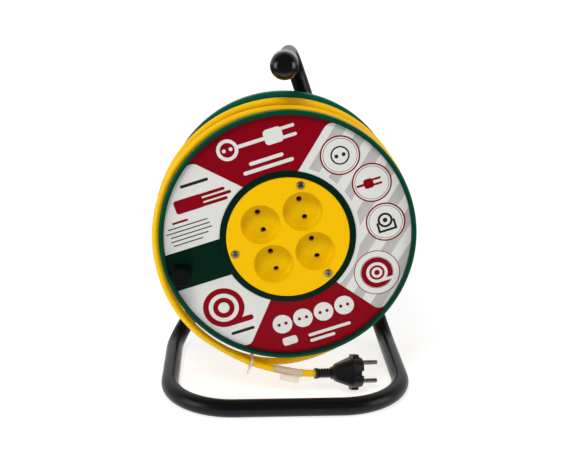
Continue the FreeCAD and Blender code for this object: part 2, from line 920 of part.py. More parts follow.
def knob_spindle():
    centre = knob_axis()
    front = spindle_front()
    body = fused([rod(centre, spindle_d / 2, front, front_back),
                  rod(centre, spindle_head_d / 2, front_back - spindle_head_t, front_back)])
    return body.cut(rod(centre, knob_screw_d / 2 + screw_gap, front - beyond,
                        front + knob_screw_length + beyond))


def knob_screw():
    return screw(knob_axis(), spindle_front(), knob_screw_head, knob_screw_head_t, knob_screw_d,
                 knob_screw_length)


def knob_cap():
    front = front_seat - knob_gap - knob_length
    radius = knob_screw_head / 2 + knob_screw_room - running_gap
    return rod(knob_axis(), radius, front, front + knob_cap_t)


# The cable


def ramp(angle, depth, side):
    """A wedge where the outer layer climbs from the layer below. Side is 1 or -1."""
    low, high = core_r - ramp_rise, layer_r + cord_r
    end = cord_d + ramp_run
    points = [(0, low), (0, high), (side * cord_d, high), (side * end, core_r), (side * end, low)]
    outline = [V(along, 0, up) for along, up in points]
    wedge = Part.Face(Part.makePolygon(outline + outline[:1])).extrude(V(0, cord_d, 0))
    wedge.translate(V(0, depth - cord_r, 0))
    wedge.rotate(V(0, 0, 0), V(0, 1, 0), 90 - angle)
    return wedge


def layer_angles():
    """The layer starts and ends at the bottom of the drum."""
    return -90, -90 + 360 * layer_turns


def layer_path():
    """Twelve turns of a helix as arcs, with a straight diameter at each end."""
    first, last = layer_angles()
    quarters = 4 * layer_turns
    lead = layer_pitch / (2 * math.pi)
    stations = []
    for index in range(quarters + 1):
        angle = first + 90 * index
        heading = (at(angle + 90, layer_r) + V(0, lead, 0)).normalize()
        stations.append((at(angle, layer_r, layer_start + layer_pitch * index / 4), heading))
    edges = []
    start, heading = stations[0]
    edges.append(Part.LineSegment(start - heading * cord_d, start).toShape())
    for (here, way), (there, next_way) in zip(stations, stations[1:]):
        edges += biarc(here, way, there, next_way)
    end, heading = stations[-1]
    edges.append(Part.LineSegment(end, end + heading * cord_d).toShape())
    return Part.Wire(edges)


def cable_core():
    """The layers under the outer one, as one plain ring with a wedge at each end."""
    body = ring(V(), barrel_r + seat_gap, core_r, front_back + seat_gap, rear_front - seat_gap)
    first, last = layer_angles()
    body = fused([body, ramp(first, layer_start, -1), ramp(last, layer_end, 1)])
    path = layer_path()
    body = body.cut(swept(path, cord_r + running_gap))
    return body.cut(lead_way(barrel_r, lead_end))


def cable_winding():
    path = layer_path()
    solid = swept(path, cord_r)
    report_tube("cable_winding", solid, path, cord_r)
    gap = least_gap(path, cord_d, 2 * math.pi * layer_r)
    print("cable_winding least gap to itself", round(gap, 3))
    return solid


def plug_placement():
    turn = FreeCAD.Rotation(plug_yaw, plug_droop, plug_roll)
    return FreeCAD.Placement(V(*plug_start), turn)


def tail_points():
    """The chosen points, with the last run on the plug's axis."""
    heading = plug_placement().Rotation.multVec(V(1, 0, 0))
    start = V(*plug_start)
    points = [at(*station) for station in loose_turns]
    return points + [V(*last_bend), start - heading * plug_lead, start + heading * sleeve_socket]


def tail_path():
    points = tail_points()
    return rounded_path(points, cord_radii(points))


def cable_tail():
    points = tail_points()
    radii = cord_radii(points)
    print("cable_tail bend radii", [round(radius, 1) for radius in radii])
    runs = [(b - a).Length for a, b in zip(points, points[1:])]
    print("cable_tail runs", [round(run, 1) for run in runs])
    path = rounded_path(points, radii)
    solid = swept(path, cord_r)
    report_tube("cable_tail", solid, path, cord_r)
    gap = least_gap(path, cord_d, 2 * math.pi * flange_r)
    print("cable_tail least gap to itself", round(gap, 3))
    return solid


def strand_near(angle, depth):
    """Centre of the loose end where it passes an angle, on the strand near a depth."""
    points = tail_path().discretize(Number=900)
    best = None
    for point in points:
        off = abs((math.degrees(math.atan2(point.z, point.x)) - angle + 180) % 360 - 180)
        if abs(point.y - depth) < cord_d / 2 and point.Length > layer_r:
            if best is None or off < best[0]:
                best = (off, point)
    return best[1]


def cable_tie():
    """A cable tie round the two loose strands, with its lock and cut end."""
    front = strand_near(tie_at, 13.2)
    rear = strand_near(tie_at, 22.0)
    along = at(tie_at + 90, 1.0)
    span = rear - front
    span = span - along * span.dot(along)
    length = span.Length
    out = span.cross(along).normalize()

    def loop(radius):
        """A slot outline round both strands, as long as the tie is wide."""
        sides = []
        for end in (front, rear):
            sides.append(Part.makeCylinder(radius, tie_w, end - along * (tie_w / 2), along))
        corner = front - along * (tie_w / 2)
        plate = Part.Face(Part.makePolygon([
            corner + out * radius, corner + span + out * radius,
            corner + span - out * radius, corner - out * radius, corner + out * radius]))
        sides.append(plate.extrude(along * tie_w))
        return fused(sides)

    inner = cord_r + tie_gap
    outer = inner + tie_t
    below = out if out.z < 0 else out * -1.0
    across = span * (1 / length)
    body = loop(outer)
    foot = front + across * (length / 3) + below * (outer - sink)
    lock = rotated_box(foot, across, below, along, *tie_lock)
    stub = rotated_box(foot + below * (tie_lock[1] - sink), across, below, along, *tie_stub)
    return fused([body, lock, stub]).cut(loop(inner))


def rotated_box(foot, across, outward, along, width, height, depth):
    """A box that stands on foot: width across, height outward, depth along."""
    corner = foot - across * (width / 2) - along * (depth / 2)
    face = Part.Face(Part.makePolygon([
        corner, corner + across * width, corner + across * width + along * depth,
        corner + along * depth, corner]))
    return face.extrude(outward * height)


def part_of(edge, first_share, last_share):
    """A stretch of an edge, between two shares of its length."""
    first, last = edge.ParameterRange
    span = last - first
    return edge.Curve.toShape(first + span * first_share, first + span * last_share)


def cable_tag():
    """A clear tape flag folded round the cable before the plug."""
    before, straight, after = tail_path().OrderedEdges[-4:-1]
    wrap = Part.Wire([part_of(before, 1 - tag_share, 1), straight, part_of(after, 0, tag_share)])
    start, end = straight.Vertexes[0].Point, straight.Vertexes[1].Point
    heading = (end - start).normalize()
    down = V(0, 0, -1)
    down = (down - heading * down.dot(heading)).normalize()
    side = heading.cross(down)
    outer = cord_r + running_gap + tag_t
    flag_foot = (start + end) * 0.5 + down * (outer - tag_t / 2)
    flag = rotated_box(flag_foot, side, down, heading, 2 * tag_t, tag_drop, tag_width)
    return fused([swept(wrap, outer), flag]).cut(swept(wrap, cord_r + running_gap))


# The plug, built along +X and then turned into place


def plug_outline(section, along):
    """The rounded outline of a section of the plug's body."""
    height, thickness, corner = section
    wire = rounded_rectangle(thickness, height, corner, 0, V())
    wire.rotate(V(0, 0, 0), V(0, 0, 1), -90)
    wire.translate(V(along, 0, 0))
    return wire


def plug_loft(near, near_x, far, far_x):
    """A stretch of the plug's body between two of its sections."""
    return Part.makeLoft([plug_outline(near, near_x), plug_outline(far, far_x)], True, True)


def side_panels(neck_x, shoulder_x):
    """What is sunk into both flat sides of the taper, round a raised field."""
    sunk = 2 * panel_sunk
    skin = plug_loft(plug_neck, neck_x, plug_shoulder, shoulder_x)
    core = plug_loft((plug_neck[0], plug_neck[1] - sunk, plug_neck[2]), neck_x,
                     (plug_shoulder[0], plug_shoulder[1] - sunk, plug_shoulder[2]), shoulder_x)
    first, last = neck_x + panel_in[0], shoulder_x - panel_in[1]
    grow = (plug_shoulder[0] - plug_neck[0]) / (2 * (shoulder_x - neck_x))
    low = plug_neck[0] / 2 + grow * panel_in[0] - panel_margin
    high = plug_shoulder[0] / 2 - grow * panel_in[1] - panel_margin

    def field(inset):
        """A trapezoid through the whole plug, taken in by an inset."""
        near, far = first + inset, last - inset
        points = [V(near, 0, low - inset), V(far, 0, high - inset), V(far, 0, inset - high),
                  V(near, 0, inset - low), V(near, 0, low - inset)]
        face = Part.Face(Part.makePolygon(points))
        face.translate(V(0, -plug_disc[1], 0))
        return face.extrude(V(0, 2 * plug_disc[1], 0))

    return skin.cut(core).common(field(0).cut(field(panel_border)))


def plug_body():
    neck_x = sleeve_length + plug_bevel
    shoulder_x = sleeve_length + plug_taper
    disc_x = shoulder_x + plug_disc_t
    disc = Part.Face(plug_outline(plug_disc, shoulder_x)).extrude(V(plug_disc_t, 0, 0))
    nose = Part.Face(plug_outline(plug_nose, disc_x)).extrude(V(plug_nose_t, 0, 0))
    front_edges = [edge for edge in nose.Edges
                   if all(vertex.Point.x > plug_front() - touch for vertex in edge.Vertexes)]
    nose = nose.makeFillet(plug_edge_r, front_edges)
    lugs = Part.makeBox(plug_disc_t, lug_w, lug_height, V(shoulder_x, -lug_w / 2, -lug_height / 2))
    long_edges = [edge for edge in lugs.Edges if edge.BoundBox.XLength > plug_disc_t - touch]
    lugs = lugs.makeFillet(lug_edge_r, long_edges)
    body = fused([plug_loft(plug_root, sleeve_length, plug_neck, neck_x),
                  plug_loft(plug_neck, neck_x, plug_shoulder, shoulder_x), disc, nose, lugs])
    body = body.cut(side_panels(neck_x, shoulder_x))
    floor = plug_disc[1] / 2 - notch_depth
    for side in (-1, 1):
        notch = Part.makeBox(plug_front() - shoulder_x + beyond, notch_depth + beyond, notch_w,
                             V(shoulder_x, floor, -notch_w / 2))
        ridge = Part.makeBox(plug_disc_t, notch_ridge, notch_ridge,
                             V(shoulder_x, floor, -notch_ridge / 2))
        notch = notch.cut(ridge)
        notch.rotate(V(), V(1, 0, 0), 90 - 90 * side)
        body = body.cut(notch)
    for pin in pin_rods():
        body = body.cut(pin)
    body.Placement = plug_placement()
    return body


def plug_front():
    return sleeve_length + plug_taper + plug_disc_t + plug_nose_t


def pin_rods():
    """Each pin with the slimmer root that is moulded into the plug."""
    rods = []
    forward = V(1, 0, 0)
    for side in (-1, 1):
        face = V(plug_front(), 0, side * pin_pitch / 2)
        pin = Part.makeCylinder(pin_d / 2, pin_length, face, forward)
        tip = [edge for edge in pin.Edges
               if isinstance(edge.Curve, Part.Circle) and edge.Curve.Center.x > plug_front() + touch]
        root = Part.makeCylinder(pin_root_d / 2, pin_root + sink, face - forward * pin_root, forward)
        rods.append(fused([pin.makeFillet(pin_tip_r, tip), root]))
    return rods


def plug_pins():
    pins = pin_rods()
    for pin in pins:
        pin.Placement = plug_placement()
    return Part.makeCompound(pins)


def plug_sleeve():
    """The ribbed bend relief, a turned rubber sleeve."""
    bore, rib_r = cord_r + running_gap, sleeve_d / 2
    collar_r, neck_r = sleeve_collar_d / 2, plug_root[1] / 2
    corners = [(sleeve_socket, 0), (sleeve_socket, bore), (0, bore), (0, collar_r),
               (sleeve_collar, collar_r)]
    step = (sleeve_length - 2 * sleeve_collar) / sleeve_ribs
    for rib in range(sleeve_ribs):
        foot = sleeve_collar + rib * step
        corners += [(foot + step / 3, rib_r - sleeve_groove), (foot + step / 2, rib_r),
                    (foot + step * 0.9, rib_r)]
    corners += [(sleeve_length - sleeve_collar, neck_r), (sleeve_length, neck_r), (sleeve_length, 0)]
    points = [V(along, radius, 0) for along, radius in corners]
    outline = Part.makePolygon(points + points[:1])
    body = Part.Face(outline).revolve(V(0, 0, 0), V(1, 0, 0), 360)
    body.Placement = plug_placement()
    return body


# Every node and the function that makes it

nodes = {
    "frame_tube": frame_tube,
    "frame_brace": frame_brace,
    "handle_cap": handle_cap,
    "axle_collar": axle_collar,
    "thrust_washer": thrust_washer,
    "axle_washer": axle_washer,
    "axle_insert": axle_insert,
    "axle_bolt": axle_bolt,
    "front_flange": front_flange,
    "back_flange": back_flange,
    "barrel": barrel,
    "bush_front": lambda: bush(hub_front),
    "bush_rear": lambda: bush(hub_back - bush_length),
    "drum_screws": drum_screws,
    "label": label,
    "socket_panel": socket_panel,
    "contact_strip_live": lambda: contact_strip(-1),
    "contact_strip_neutral": lambda: contact_strip(1),
    "contact_carrier": contact_carrier,
    "carrier_screws": carrier_screws,
    "panel_screws": panel_screws,
    "inner_lead": inner_lead,
    "wire_live": lambda: inner_wire(-1),
    "wire_neutral": lambda: inner_wire(1),
    "lead_clamp": lead_clamp,
    "clamp_screws": clamp_screws,
    "crank_knob": crank_knob,
    "knob_spindle": knob_spindle,
    "knob_screw": knob_screw,
    "knob_cap": knob_cap,
    "cable_core": cable_core,
    "cable_winding": cable_winding,
    "cable_tail": cable_tail,
    "cable_tie": cable_tie,
    "cable_tag": cable_tag,
    "plug_body": plug_body,
    "plug_pins": plug_pins,
    "plug_sleeve": plug_sleeve,
}
for number, (across, up) in enumerate(socket_centres(), start=1):
    nodes["socket_insert_%d" % number] = lambda a=across, u=up: socket_insert(a, u)

os.makedirs("parts", exist_ok=True)
for name, make in nodes.items():
    shape = make()
    shape.translate(V(0, face_y, axle_height))
    shape.exportStep("parts/%s.step" % name)
    solids = len(shape.Solids)
    print("%-22s %2d solid %10.0f mm3 valid %s" % (name, solids, shape.Volume, shape.isValid()))
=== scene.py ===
"""Extension cord reel: its cable, label, surfaces and studio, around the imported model."""

import json
import math
import bpy
from bpy.props import FloatProperty, FloatVectorProperty, IntProperty, PointerProperty
from mathutils import Matrix, Vector


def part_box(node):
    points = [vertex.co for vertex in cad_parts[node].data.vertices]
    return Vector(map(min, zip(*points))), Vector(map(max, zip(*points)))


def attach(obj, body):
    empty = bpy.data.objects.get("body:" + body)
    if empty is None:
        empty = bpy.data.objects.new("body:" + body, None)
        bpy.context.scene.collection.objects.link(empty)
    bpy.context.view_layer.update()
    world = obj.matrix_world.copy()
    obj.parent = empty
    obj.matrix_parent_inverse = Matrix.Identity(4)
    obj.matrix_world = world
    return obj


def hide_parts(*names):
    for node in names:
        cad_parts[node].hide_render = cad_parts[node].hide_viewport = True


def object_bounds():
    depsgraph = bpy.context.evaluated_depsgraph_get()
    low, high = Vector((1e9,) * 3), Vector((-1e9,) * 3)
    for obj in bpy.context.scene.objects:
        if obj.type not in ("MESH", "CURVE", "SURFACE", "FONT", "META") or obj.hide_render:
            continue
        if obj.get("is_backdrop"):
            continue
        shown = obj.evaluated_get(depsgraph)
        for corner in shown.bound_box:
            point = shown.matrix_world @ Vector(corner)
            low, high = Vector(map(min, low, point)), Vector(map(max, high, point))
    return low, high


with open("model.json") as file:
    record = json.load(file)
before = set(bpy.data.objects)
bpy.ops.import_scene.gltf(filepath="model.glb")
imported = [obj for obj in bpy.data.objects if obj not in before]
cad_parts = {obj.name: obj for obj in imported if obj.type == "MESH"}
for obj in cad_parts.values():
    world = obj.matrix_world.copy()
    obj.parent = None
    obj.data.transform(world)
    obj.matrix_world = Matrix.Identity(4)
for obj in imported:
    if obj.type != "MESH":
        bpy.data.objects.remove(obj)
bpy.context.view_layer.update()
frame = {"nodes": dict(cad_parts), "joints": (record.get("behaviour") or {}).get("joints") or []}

bl_info = {
    "name": "Extension Cord Reel",
    "version": (1, 0, 0),
    "blender": (4, 5, 0),
    "location": "View3D > Sidebar > Reel",
    "description": "Cable, label, surfaces and studio of a socket reel on a tube stand",
    "category": "Object",
}

NODES = frame["nodes"]
MM = 0.001

# Where the drum is: its axle runs along Y, and depths count back from the socket panel's face.
AXLE_HEIGHT = frame["joints"][0]["pos_m"][2]
PANEL_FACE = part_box("socket_panel")[0].y
DRUM_TURN = math.radians(17.7)
LABEL_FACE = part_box("label")[0].y

# The loose end, as (angle, radius, depth) round the drum, in degrees and millimetres.
LOOSE_TURNS = (
    (-88, 127.0, 100.0), (-60, 126.6, 92.0), (-30, 126.6, 82.0), (0, 126.6, 72.0),
    (30, 126.7, 63.0), (60, 127.8, 54.0), (90, 130.2, 46.0), (120, 132.3, 40.0),
    (150, 133.0, 34.0), (180, 132.0, 29.5), (210, 139.4, 26.0), (238, 143.4, 23.0),
    (263, 143.9, 21.4), (287, 135.6, 21.0), (312, 129.0, 20.0), (338, 126.8, 18.0),
    (366, 126.6, 16.0), (396, 126.6, 14.6), (425, 126.8, 13.6), (452, 127.6, 13.2),
    (480, 129.8, 13.3), (509, 131.6, 13.2), (537, 131.9, 13.3), (563, 134.3, 13.2),
    (586, 138.4, 13.3), (610, 140.0, 13.2),
)
# The last free bend and the plug's start, as (across, depth, up) from the axle in
# millimetres. The plug is turned by its yaw and droop, in degrees. The cable runs straight
# for its lead before it, and goes some way into its sleeve.
LAST_BEND = (-16.0, 12.4, -142.8)
PLUG_START = (29.0, 13.2, -149.3)
PLUG_YAW = 14.0
PLUG_DROOP = 5.2
PLUG_LEAD = 12.0
SLEEVE_SOCKET = 6.0

# Winding: points of its line in a turn, and the gaps between its layers.
POINTS_PER_TURN = 16
LAYER_GAP = 0.2 * MM
INNER_GAP = 0.1 * MM

# The moulded floor of a socket, which curves up to the wall. Most of its rim lies in the wall.
FLOOR_REACH = 19.05 * MM
FLOOR_BRIM = 0.27 * MM
FLOOR_RISE = 3.4 * MM
FLOOR_CURVE = 2.3 * MM
FLOOR_THICKNESS = 1.0 * MM
PIN_PITCH = 19.0 * MM
PIN_HOLE = 5.4 * MM
FACING_FRONT = (math.pi / 2, 0.0, 0.0)

# The label's sectors, each between two cuts through its plane: the direction in which a cut's
# kept side lies, and the cut's distance from the axle.
LABEL_REACH = 120.3 * MM
SECTOR_CORNER = 7.5 * MM
LEFT_SECTOR = {"First side": (-0.703, 0, -0.711), "First offset": 25.2 * MM,
               "Second side": (-0.765, 0, 0.644), "Second offset": 9.0 * MM}
RIGHT_SECTOR = {"First side": (0.670, 0, -0.743), "First offset": 25.4 * MM,
                "Second side": (0.790, 0, 0.613), "Second offset": 10.9 * MM}
MASK_SHARPNESS = 12000.0

# The stripes of the right sector start some way from the axle and run along one of its cuts,
# and each fades a little across its width.
STRIPE_SIDE = RIGHT_SECTOR["First side"]
STRIPE_PITCH = 20.7 * MM
STRIPE_MARGIN = 17.8 * MM
STRIPE_SHARE = 0.52
STRIPE_FADE = 0.25
STRIPE_START = 70.6 * MM

# Printed marks, in millimetres. A lift says what a mark lies on: the film, a white print or
# the red disc of the last badge. A mark that crosses another lies a little higher.
ON_LABEL = (math.pi / 2, -DRUM_TURN, 0.0)
ON_FILM = 0.0
CROSSING = 0.02
ON_WHITE = 0.06
ON_RED = 0.12
DARK_INK = (0.02, 0.02, 0.02)
SOCKET_ROW = (-32.2, -10.8, 10.6, 32.0)
SOCKET_ROW_UP = -84.5
PIN_MARK_SIDE = 3.6

# Badges: where their middles are, across and up, and the widths of rim, gap and thin ring.
SOCKET_BADGE = (71.2, 62.4)
PLUG_BADGE = (92.8, 27.4)
REEL_BADGE = (94.8, -14.5)
COIL_BADGE = (72.5, -61.9)
BADGE_RADIUS = 19.4
BADGE_WIDTHS = (1.5, 1.3, 0.5)
COIL_BADGE_RADIUS = 22.8
COIL_BADGE_WIDTHS = (0.8, 5.6, 0.5)

# Skin: the scales of its noises for clouds, wipes and rubbed patches, how steeply an edge or a
# recess comes into its mask and from where, how wear colours an edge, and the near-black of the
# painted shade that darkens recesses.
CLOUD_SCALE = 28.0
WIPE_SCALE = 60.0
WIPE_START = 0.45
PATCH_SCALE = 240.0
EDGE_GAIN = 6.0
EDGE_LIMIT = 5.95
RECESS_GAIN = 1.8
RECESS_LIMIT = 1.7
RECESS_WIDTH = 1.5 * MM
WORN_GAIN = 1.35
WORN_LIFT = 0.02
RECESS_SHADE = (0.012, 0.011, 0.010, 1.0)

# Tones of the moulded parts. The front flange's field is darkened as painted shade up to a thin
# rim that keeps its green, the rear flange is brightened all over as painted light, the knob and
# the handle's cap are the deepest black, and deep in a socket the panel's yellow is painted
# greener, as painted light that offsets the orange of the light bounced by the socket's walls.
RIM_START = 119.5 * MM
RIM_END = 123.5 * MM
FIELD_PAINTED_SHADE = 0.25
REAR_PAINTED_LIGHT = 1.6
KNOB_TONE = 0.5
SOCKET_PAINTED_LIGHT_START = 1.0 * MM
SOCKET_PAINTED_LIGHT_END = 5.0 * MM
SOCKET_PAINTED_LIGHT = (0.96, 1.14, 1.0)

# Lamps, each as (place, width, whether shiny parts mirror it), in metres.
LAMPS = {
    "key": ((-0.40, -1.30, 1.60), 0.55, False),
    "low": ((-0.35, -1.40, 0.50), 0.80, False),
    "top": ((0.10, 0.40, 2.00), 1.60, False),
    "left": ((-1.30, -0.60, 0.40), 0.80, True),
    "right": ((1.30, -0.60, 0.40), 0.80, True),
}
LAMP_TARGET = Vector((0, 0, 0.17))
CAMERA_TARGET = Vector((-0.00314, PANEL_FACE, AXLE_HEIGHT + 0.0082))

# Floor: how pale it is for light and for the camera, and how it glows where it is seen, where
# it lights the reel and where shiny parts mirror it. Each glow is (start, end, strength at
# the start, strength at the end) by the distance from the floor's middle, in metres.
FLOOR_RADIUS = 9.0
PALENESS = 0.70
SEEN_PALENESS = 0.50
SEEN_GLOW = (0.40, 2.20, 0.74, 1.00)
BOUNCED_GLOW = (0.25, 0.80, 0.50, 0.10)
MIRRORED_GLOW = (0.30, 0.55, 1.00, 0.10)

# Room: how white shiny parts mirror it, in the same form, by how far a ray points this way.
ROOM_SIDE = (0, 0.9, -0.45)
MIRRORED_ROOM = (-0.35, 0.35, 0.06, 0.85)


# Small helpers

def deselect():
    """Leaves nothing selected, so that an operator acts on the new piece alone."""
    if bpy.context.object and bpy.context.object.mode != "OBJECT":
        bpy.ops.object.mode_set(mode="OBJECT")
    bpy.ops.object.select_all(action="DESELECT")


def round_drum(angle, radius, depth):
    """A point round the drum, from degrees and millimetres to metres."""
    turn = math.radians(angle)
    return Vector((
        radius * MM * math.cos(turn),
        PANEL_FACE + depth * MM,
        AXLE_HEIGHT + radius * MM * math.sin(turn),
    ))


def from_axle(across, depth, up):
    """A point measured from the axle in millimetres, in metres."""
    return Vector((across * MM, PANEL_FACE + depth * MM, AXLE_HEIGHT + up * MM))


def on_label(across, up, lift):
    """A point of the label's own drawing, lift millimetres in front of its face."""
    level = Vector((across * MM, LABEL_FACE - lift * MM, up * MM))
    level.rotate(Matrix.Rotation(-DRUM_TURN, 3, "Y"))
    return level + Vector((0, 0, AXLE_HEIGHT))


def finish_piece(piece, name, body, slot, *materials):
    """Names a mesh, puts its place into its points and lets it ride on a body."""
    deselect()
    piece.select_set(True)
    bpy.context.view_layer.objects.active = piece
    bpy.ops.object.transform_apply(location=True, rotation=True, scale=True)
    piece.name = name
    piece.data.name = name
    piece.data.materials.clear()
    for material in materials:
        piece.data.materials.append(material)
    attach(piece, body)
    return piece


def joined(pieces):
    """Several new meshes as one."""
    deselect()
    for piece in pieces:
        piece.select_set(True)
    bpy.context.view_layer.objects.active = pieces[0]
    bpy.ops.object.join()
    return pieces[0]


def copied(piece, name, shift):
    """The same piece again, moved, with its own mesh."""
    twin = piece.copy()
    twin.data = piece.data.copy()
    bpy.context.scene.collection.objects.link(twin)
    twin.data.transform(Matrix.Translation(shift))
    twin.name = name
    twin.data.name = name
    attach(twin, "drum")
    return twin


def apply_modifier(piece, kind, **settings):
    """Adds a modifier with these settings and applies it."""
    modifier = piece.modifiers.new(kind.title(), kind)
    for key, value in settings.items():
        setattr(modifier, key, value)
    deselect()
    piece.select_set(True)
    bpy.context.view_layer.objects.active = piece
    bpy.ops.object.modifier_apply(modifier=modifier.name)


def dress(material, *names):
    """Gives CAD nodes a finish, without touching their meshes."""
    for name in names:
        slots = NODES[name].material_slots
        if not slots:
            NODES[name].data.materials.append(material)
        for slot in slots:
            slot.material = material


# Shader building blocks

def add_node(tree, kind, inputs=None, **settings):
    """A shader node. An input is a value, or another node's socket that is linked to it."""
    made = tree.nodes.new(kind)
    for key, value in settings.items():
        setattr(made, key, value)
    for socket, value in (inputs or {}).items():
        if isinstance(value, bpy.types.NodeSocket):
            tree.links.new(value, made.inputs[socket])
        else:
            made.inputs[socket].default_value = value
    return made


def calculate(tree, operation, *values, clamp=False):
    """The result of a sum on values or sockets."""
    inputs = dict(enumerate(values))
    return add_node(tree, "ShaderNodeMath", inputs, operation=operation, use_clamp=clamp).outputs[0]


def dot(tree, first, second):
    """The dot product of two vectors."""
    found = add_node(tree, "ShaderNodeVectorMath", {0: first, 1: second}, operation="DOT_PRODUCT")
    return found.outputs["Value"]


def length_of(tree, vector):
    """The length of a vector."""
    return add_node(tree, "ShaderNodeVectorMath", {0: vector}, operation="LENGTH").outputs["Value"]


def ramp(tree, value, start, end, low=0.0, high=1.0):
    """Goes from low to high while the value goes from start to end, and stays there."""
    made = add_node(tree, "ShaderNodeMapRange",
                    {"Value": value, "From Min": start, "From Max": end,
                     "To Min": low, "To Max": high})
    return made.outputs[0]


def blend_colours(tree, share, under, over, blend_type="MIX"):
    """One colour laid over another by a share of it."""
    mix = add_node(tree, "ShaderNodeMix", {0: share, 6: under, 7: over},
                   data_type="RGBA", blend_type=blend_type)
    return mix.outputs[2]


def new_group(name, inputs, outputs):
    """An empty node group with its named sockets."""
    tree = bpy.data.node_groups.new(name, "ShaderNodeTree")
    for label, kind, value in inputs:
        socket = tree.interface.new_socket(label, in_out="INPUT", socket_type="NodeSocket" + kind)
        socket.default_value = value
    for label, kind in outputs:
        tree.interface.new_socket(label, in_out="OUTPUT", socket_type="NodeSocket" + kind)
    entry = tree.nodes.new("NodeGroupInput")
    result = tree.nodes.new("NodeGroupOutput")
    return tree, entry.outputs, result.inputs


def use_group(tree, name, inputs):
    """Places a node group in a material and gives back what it puts out."""
    made = tree.nodes.new("ShaderNodeGroup")
    made.node_tree = bpy.data.node_groups[name]
    for socket, value in inputs.items():
        if isinstance(value, bpy.types.NodeSocket):
            tree.links.new(value, made.inputs[socket])
        else:
            made.inputs[socket].default_value = value
    return made.outputs


def make_skin_group():
    """The fine grain of a moulded or painted skin, its drift in tone and its smudges."""
    tree, given, result = new_group(
        "Reel moulded skin",
        (("Vector", "Vector", (0, 0, 0)), ("Grain size", "Float", 0.4),
         ("Tone drift", "Float", 0.05), ("Smudges", "Float", 0.08)),
        (("Height", "Float"), ("Tone", "Float"), ("Gloss loss", "Float")),
    )
    per_metre = calculate(tree, "DIVIDE", 1000.0, given["Grain size"])
    grain = add_node(tree, "ShaderNodeTexNoise",
                     {"Vector": given["Vector"], "Scale": per_metre, "Detail": 2.0})
    cloud = add_node(tree, "ShaderNodeTexNoise",
                     {"Vector": given["Vector"], "Scale": CLOUD_SCALE, "Detail": 3.0})
    centred = calculate(tree, "SUBTRACT", cloud.outputs[0], 0.5)
    tone = calculate(tree, "MULTIPLY_ADD", centred, given["Tone drift"], 1.0)
    wipe = add_node(tree, "ShaderNodeTexNoise",
                    {"Vector": given["Vector"], "Scale": WIPE_SCALE, "Detail": 4.0,
                     "Distortion": 1.5})
    above = calculate(tree, "SUBTRACT", wipe.outputs[0], WIPE_START, clamp=True)
    tree.links.new(grain.outputs[0], result["Height"])
    tree.links.new(tone, result["Tone"])
    tree.links.new(calculate(tree, "MULTIPLY", above, given["Smudges"]), result["Gloss loss"])


def make_edge_group():
    """A softened normal, a mask of where edges are rubbed and a mask of narrow recesses, found by
    ambient occlusion, for painted shade.
    """
    tree, given, result = new_group(
        "Reel soft edges",
        (("Vector", "Vector", (0, 0, 0)), ("Radius", "Float", 0.0004)),
        (("Normal", "Vector"), ("Edge", "Float"), ("Recess", "Float")),
    )
    bevel = add_node(tree, "ShaderNodeBevel", {"Radius": given["Radius"]}, samples=4)
    flat = add_node(tree, "ShaderNodeNewGeometry")
    facing = dot(tree, bevel.outputs[0], flat.outputs["Normal"])
    sharp = calculate(tree, "MULTIPLY_ADD", facing, -EDGE_GAIN, EDGE_LIMIT, clamp=True)
    patches = add_node(tree, "ShaderNodeTexNoise",
                       {"Vector": given["Vector"], "Scale": PATCH_SCALE, "Detail": 3.0})
    hollow = add_node(tree, "ShaderNodeAmbientOcclusion", {"Distance": RECESS_WIDTH}, samples=4)
    closed = calculate(tree, "MULTIPLY_ADD", hollow.outputs["AO"], -RECESS_GAIN, RECESS_LIMIT,
                       clamp=True)
    tree.links.new(closed, result["Recess"])
    tree.links.new(bevel.outputs[0], result["Normal"])
    tree.links.new(calculate(tree, "MULTIPLY", sharp, patches.outputs[0]), result["Edge"])


def make_wedge_group():
    """A sector of the label between two straight cuts, with rounded outer corners."""
    tree, given, result = new_group(
        "Reel printed sector",
        (("Vector", "Vector", (0, 0, 0)), ("First side", "Vector", (1, 0, 0)),
         ("First offset", "Float", 0.0), ("Second side", "Vector", (1, 0, 0)),
         ("Second offset", "Float", 0.0), ("Reach", "Float", 0.12), ("Corner", "Float", 0.007)),
        (("Mask", "Float"),),
    )
    first = calculate(tree, "ADD", dot(tree, given["Vector"], given["First side"]),
                      given["First offset"])
    second = calculate(tree, "ADD", dot(tree, given["Vector"], given["Second side"]),
                       given["Second offset"])
    inside = calculate(tree, "MINIMUM", first, second)
    margin = calculate(tree, "SUBTRACT", given["Reach"], length_of(tree, given["Vector"]))
    squares = []
    for distance in (inside, margin):
        short = calculate(tree, "SUBTRACT", given["Corner"], distance)
        kept = calculate(tree, "MAXIMUM", short, 0.0)
        squares.append(calculate(tree, "MULTIPLY", kept, kept))
    corner = calculate(tree, "SQRT", calculate(tree, "ADD", *squares))
    left = calculate(tree, "SUBTRACT", given["Corner"], corner)
    tree.links.new(calculate(tree, "MULTIPLY", left, MASK_SHARPNESS, clamp=True), result["Mask"])


def new_material(name):
    """An empty material and its node tree."""
    material = bpy.data.materials.new(name)
    material.use_nodes = True
    material.node_tree.nodes.clear()
    return material, material.node_tree


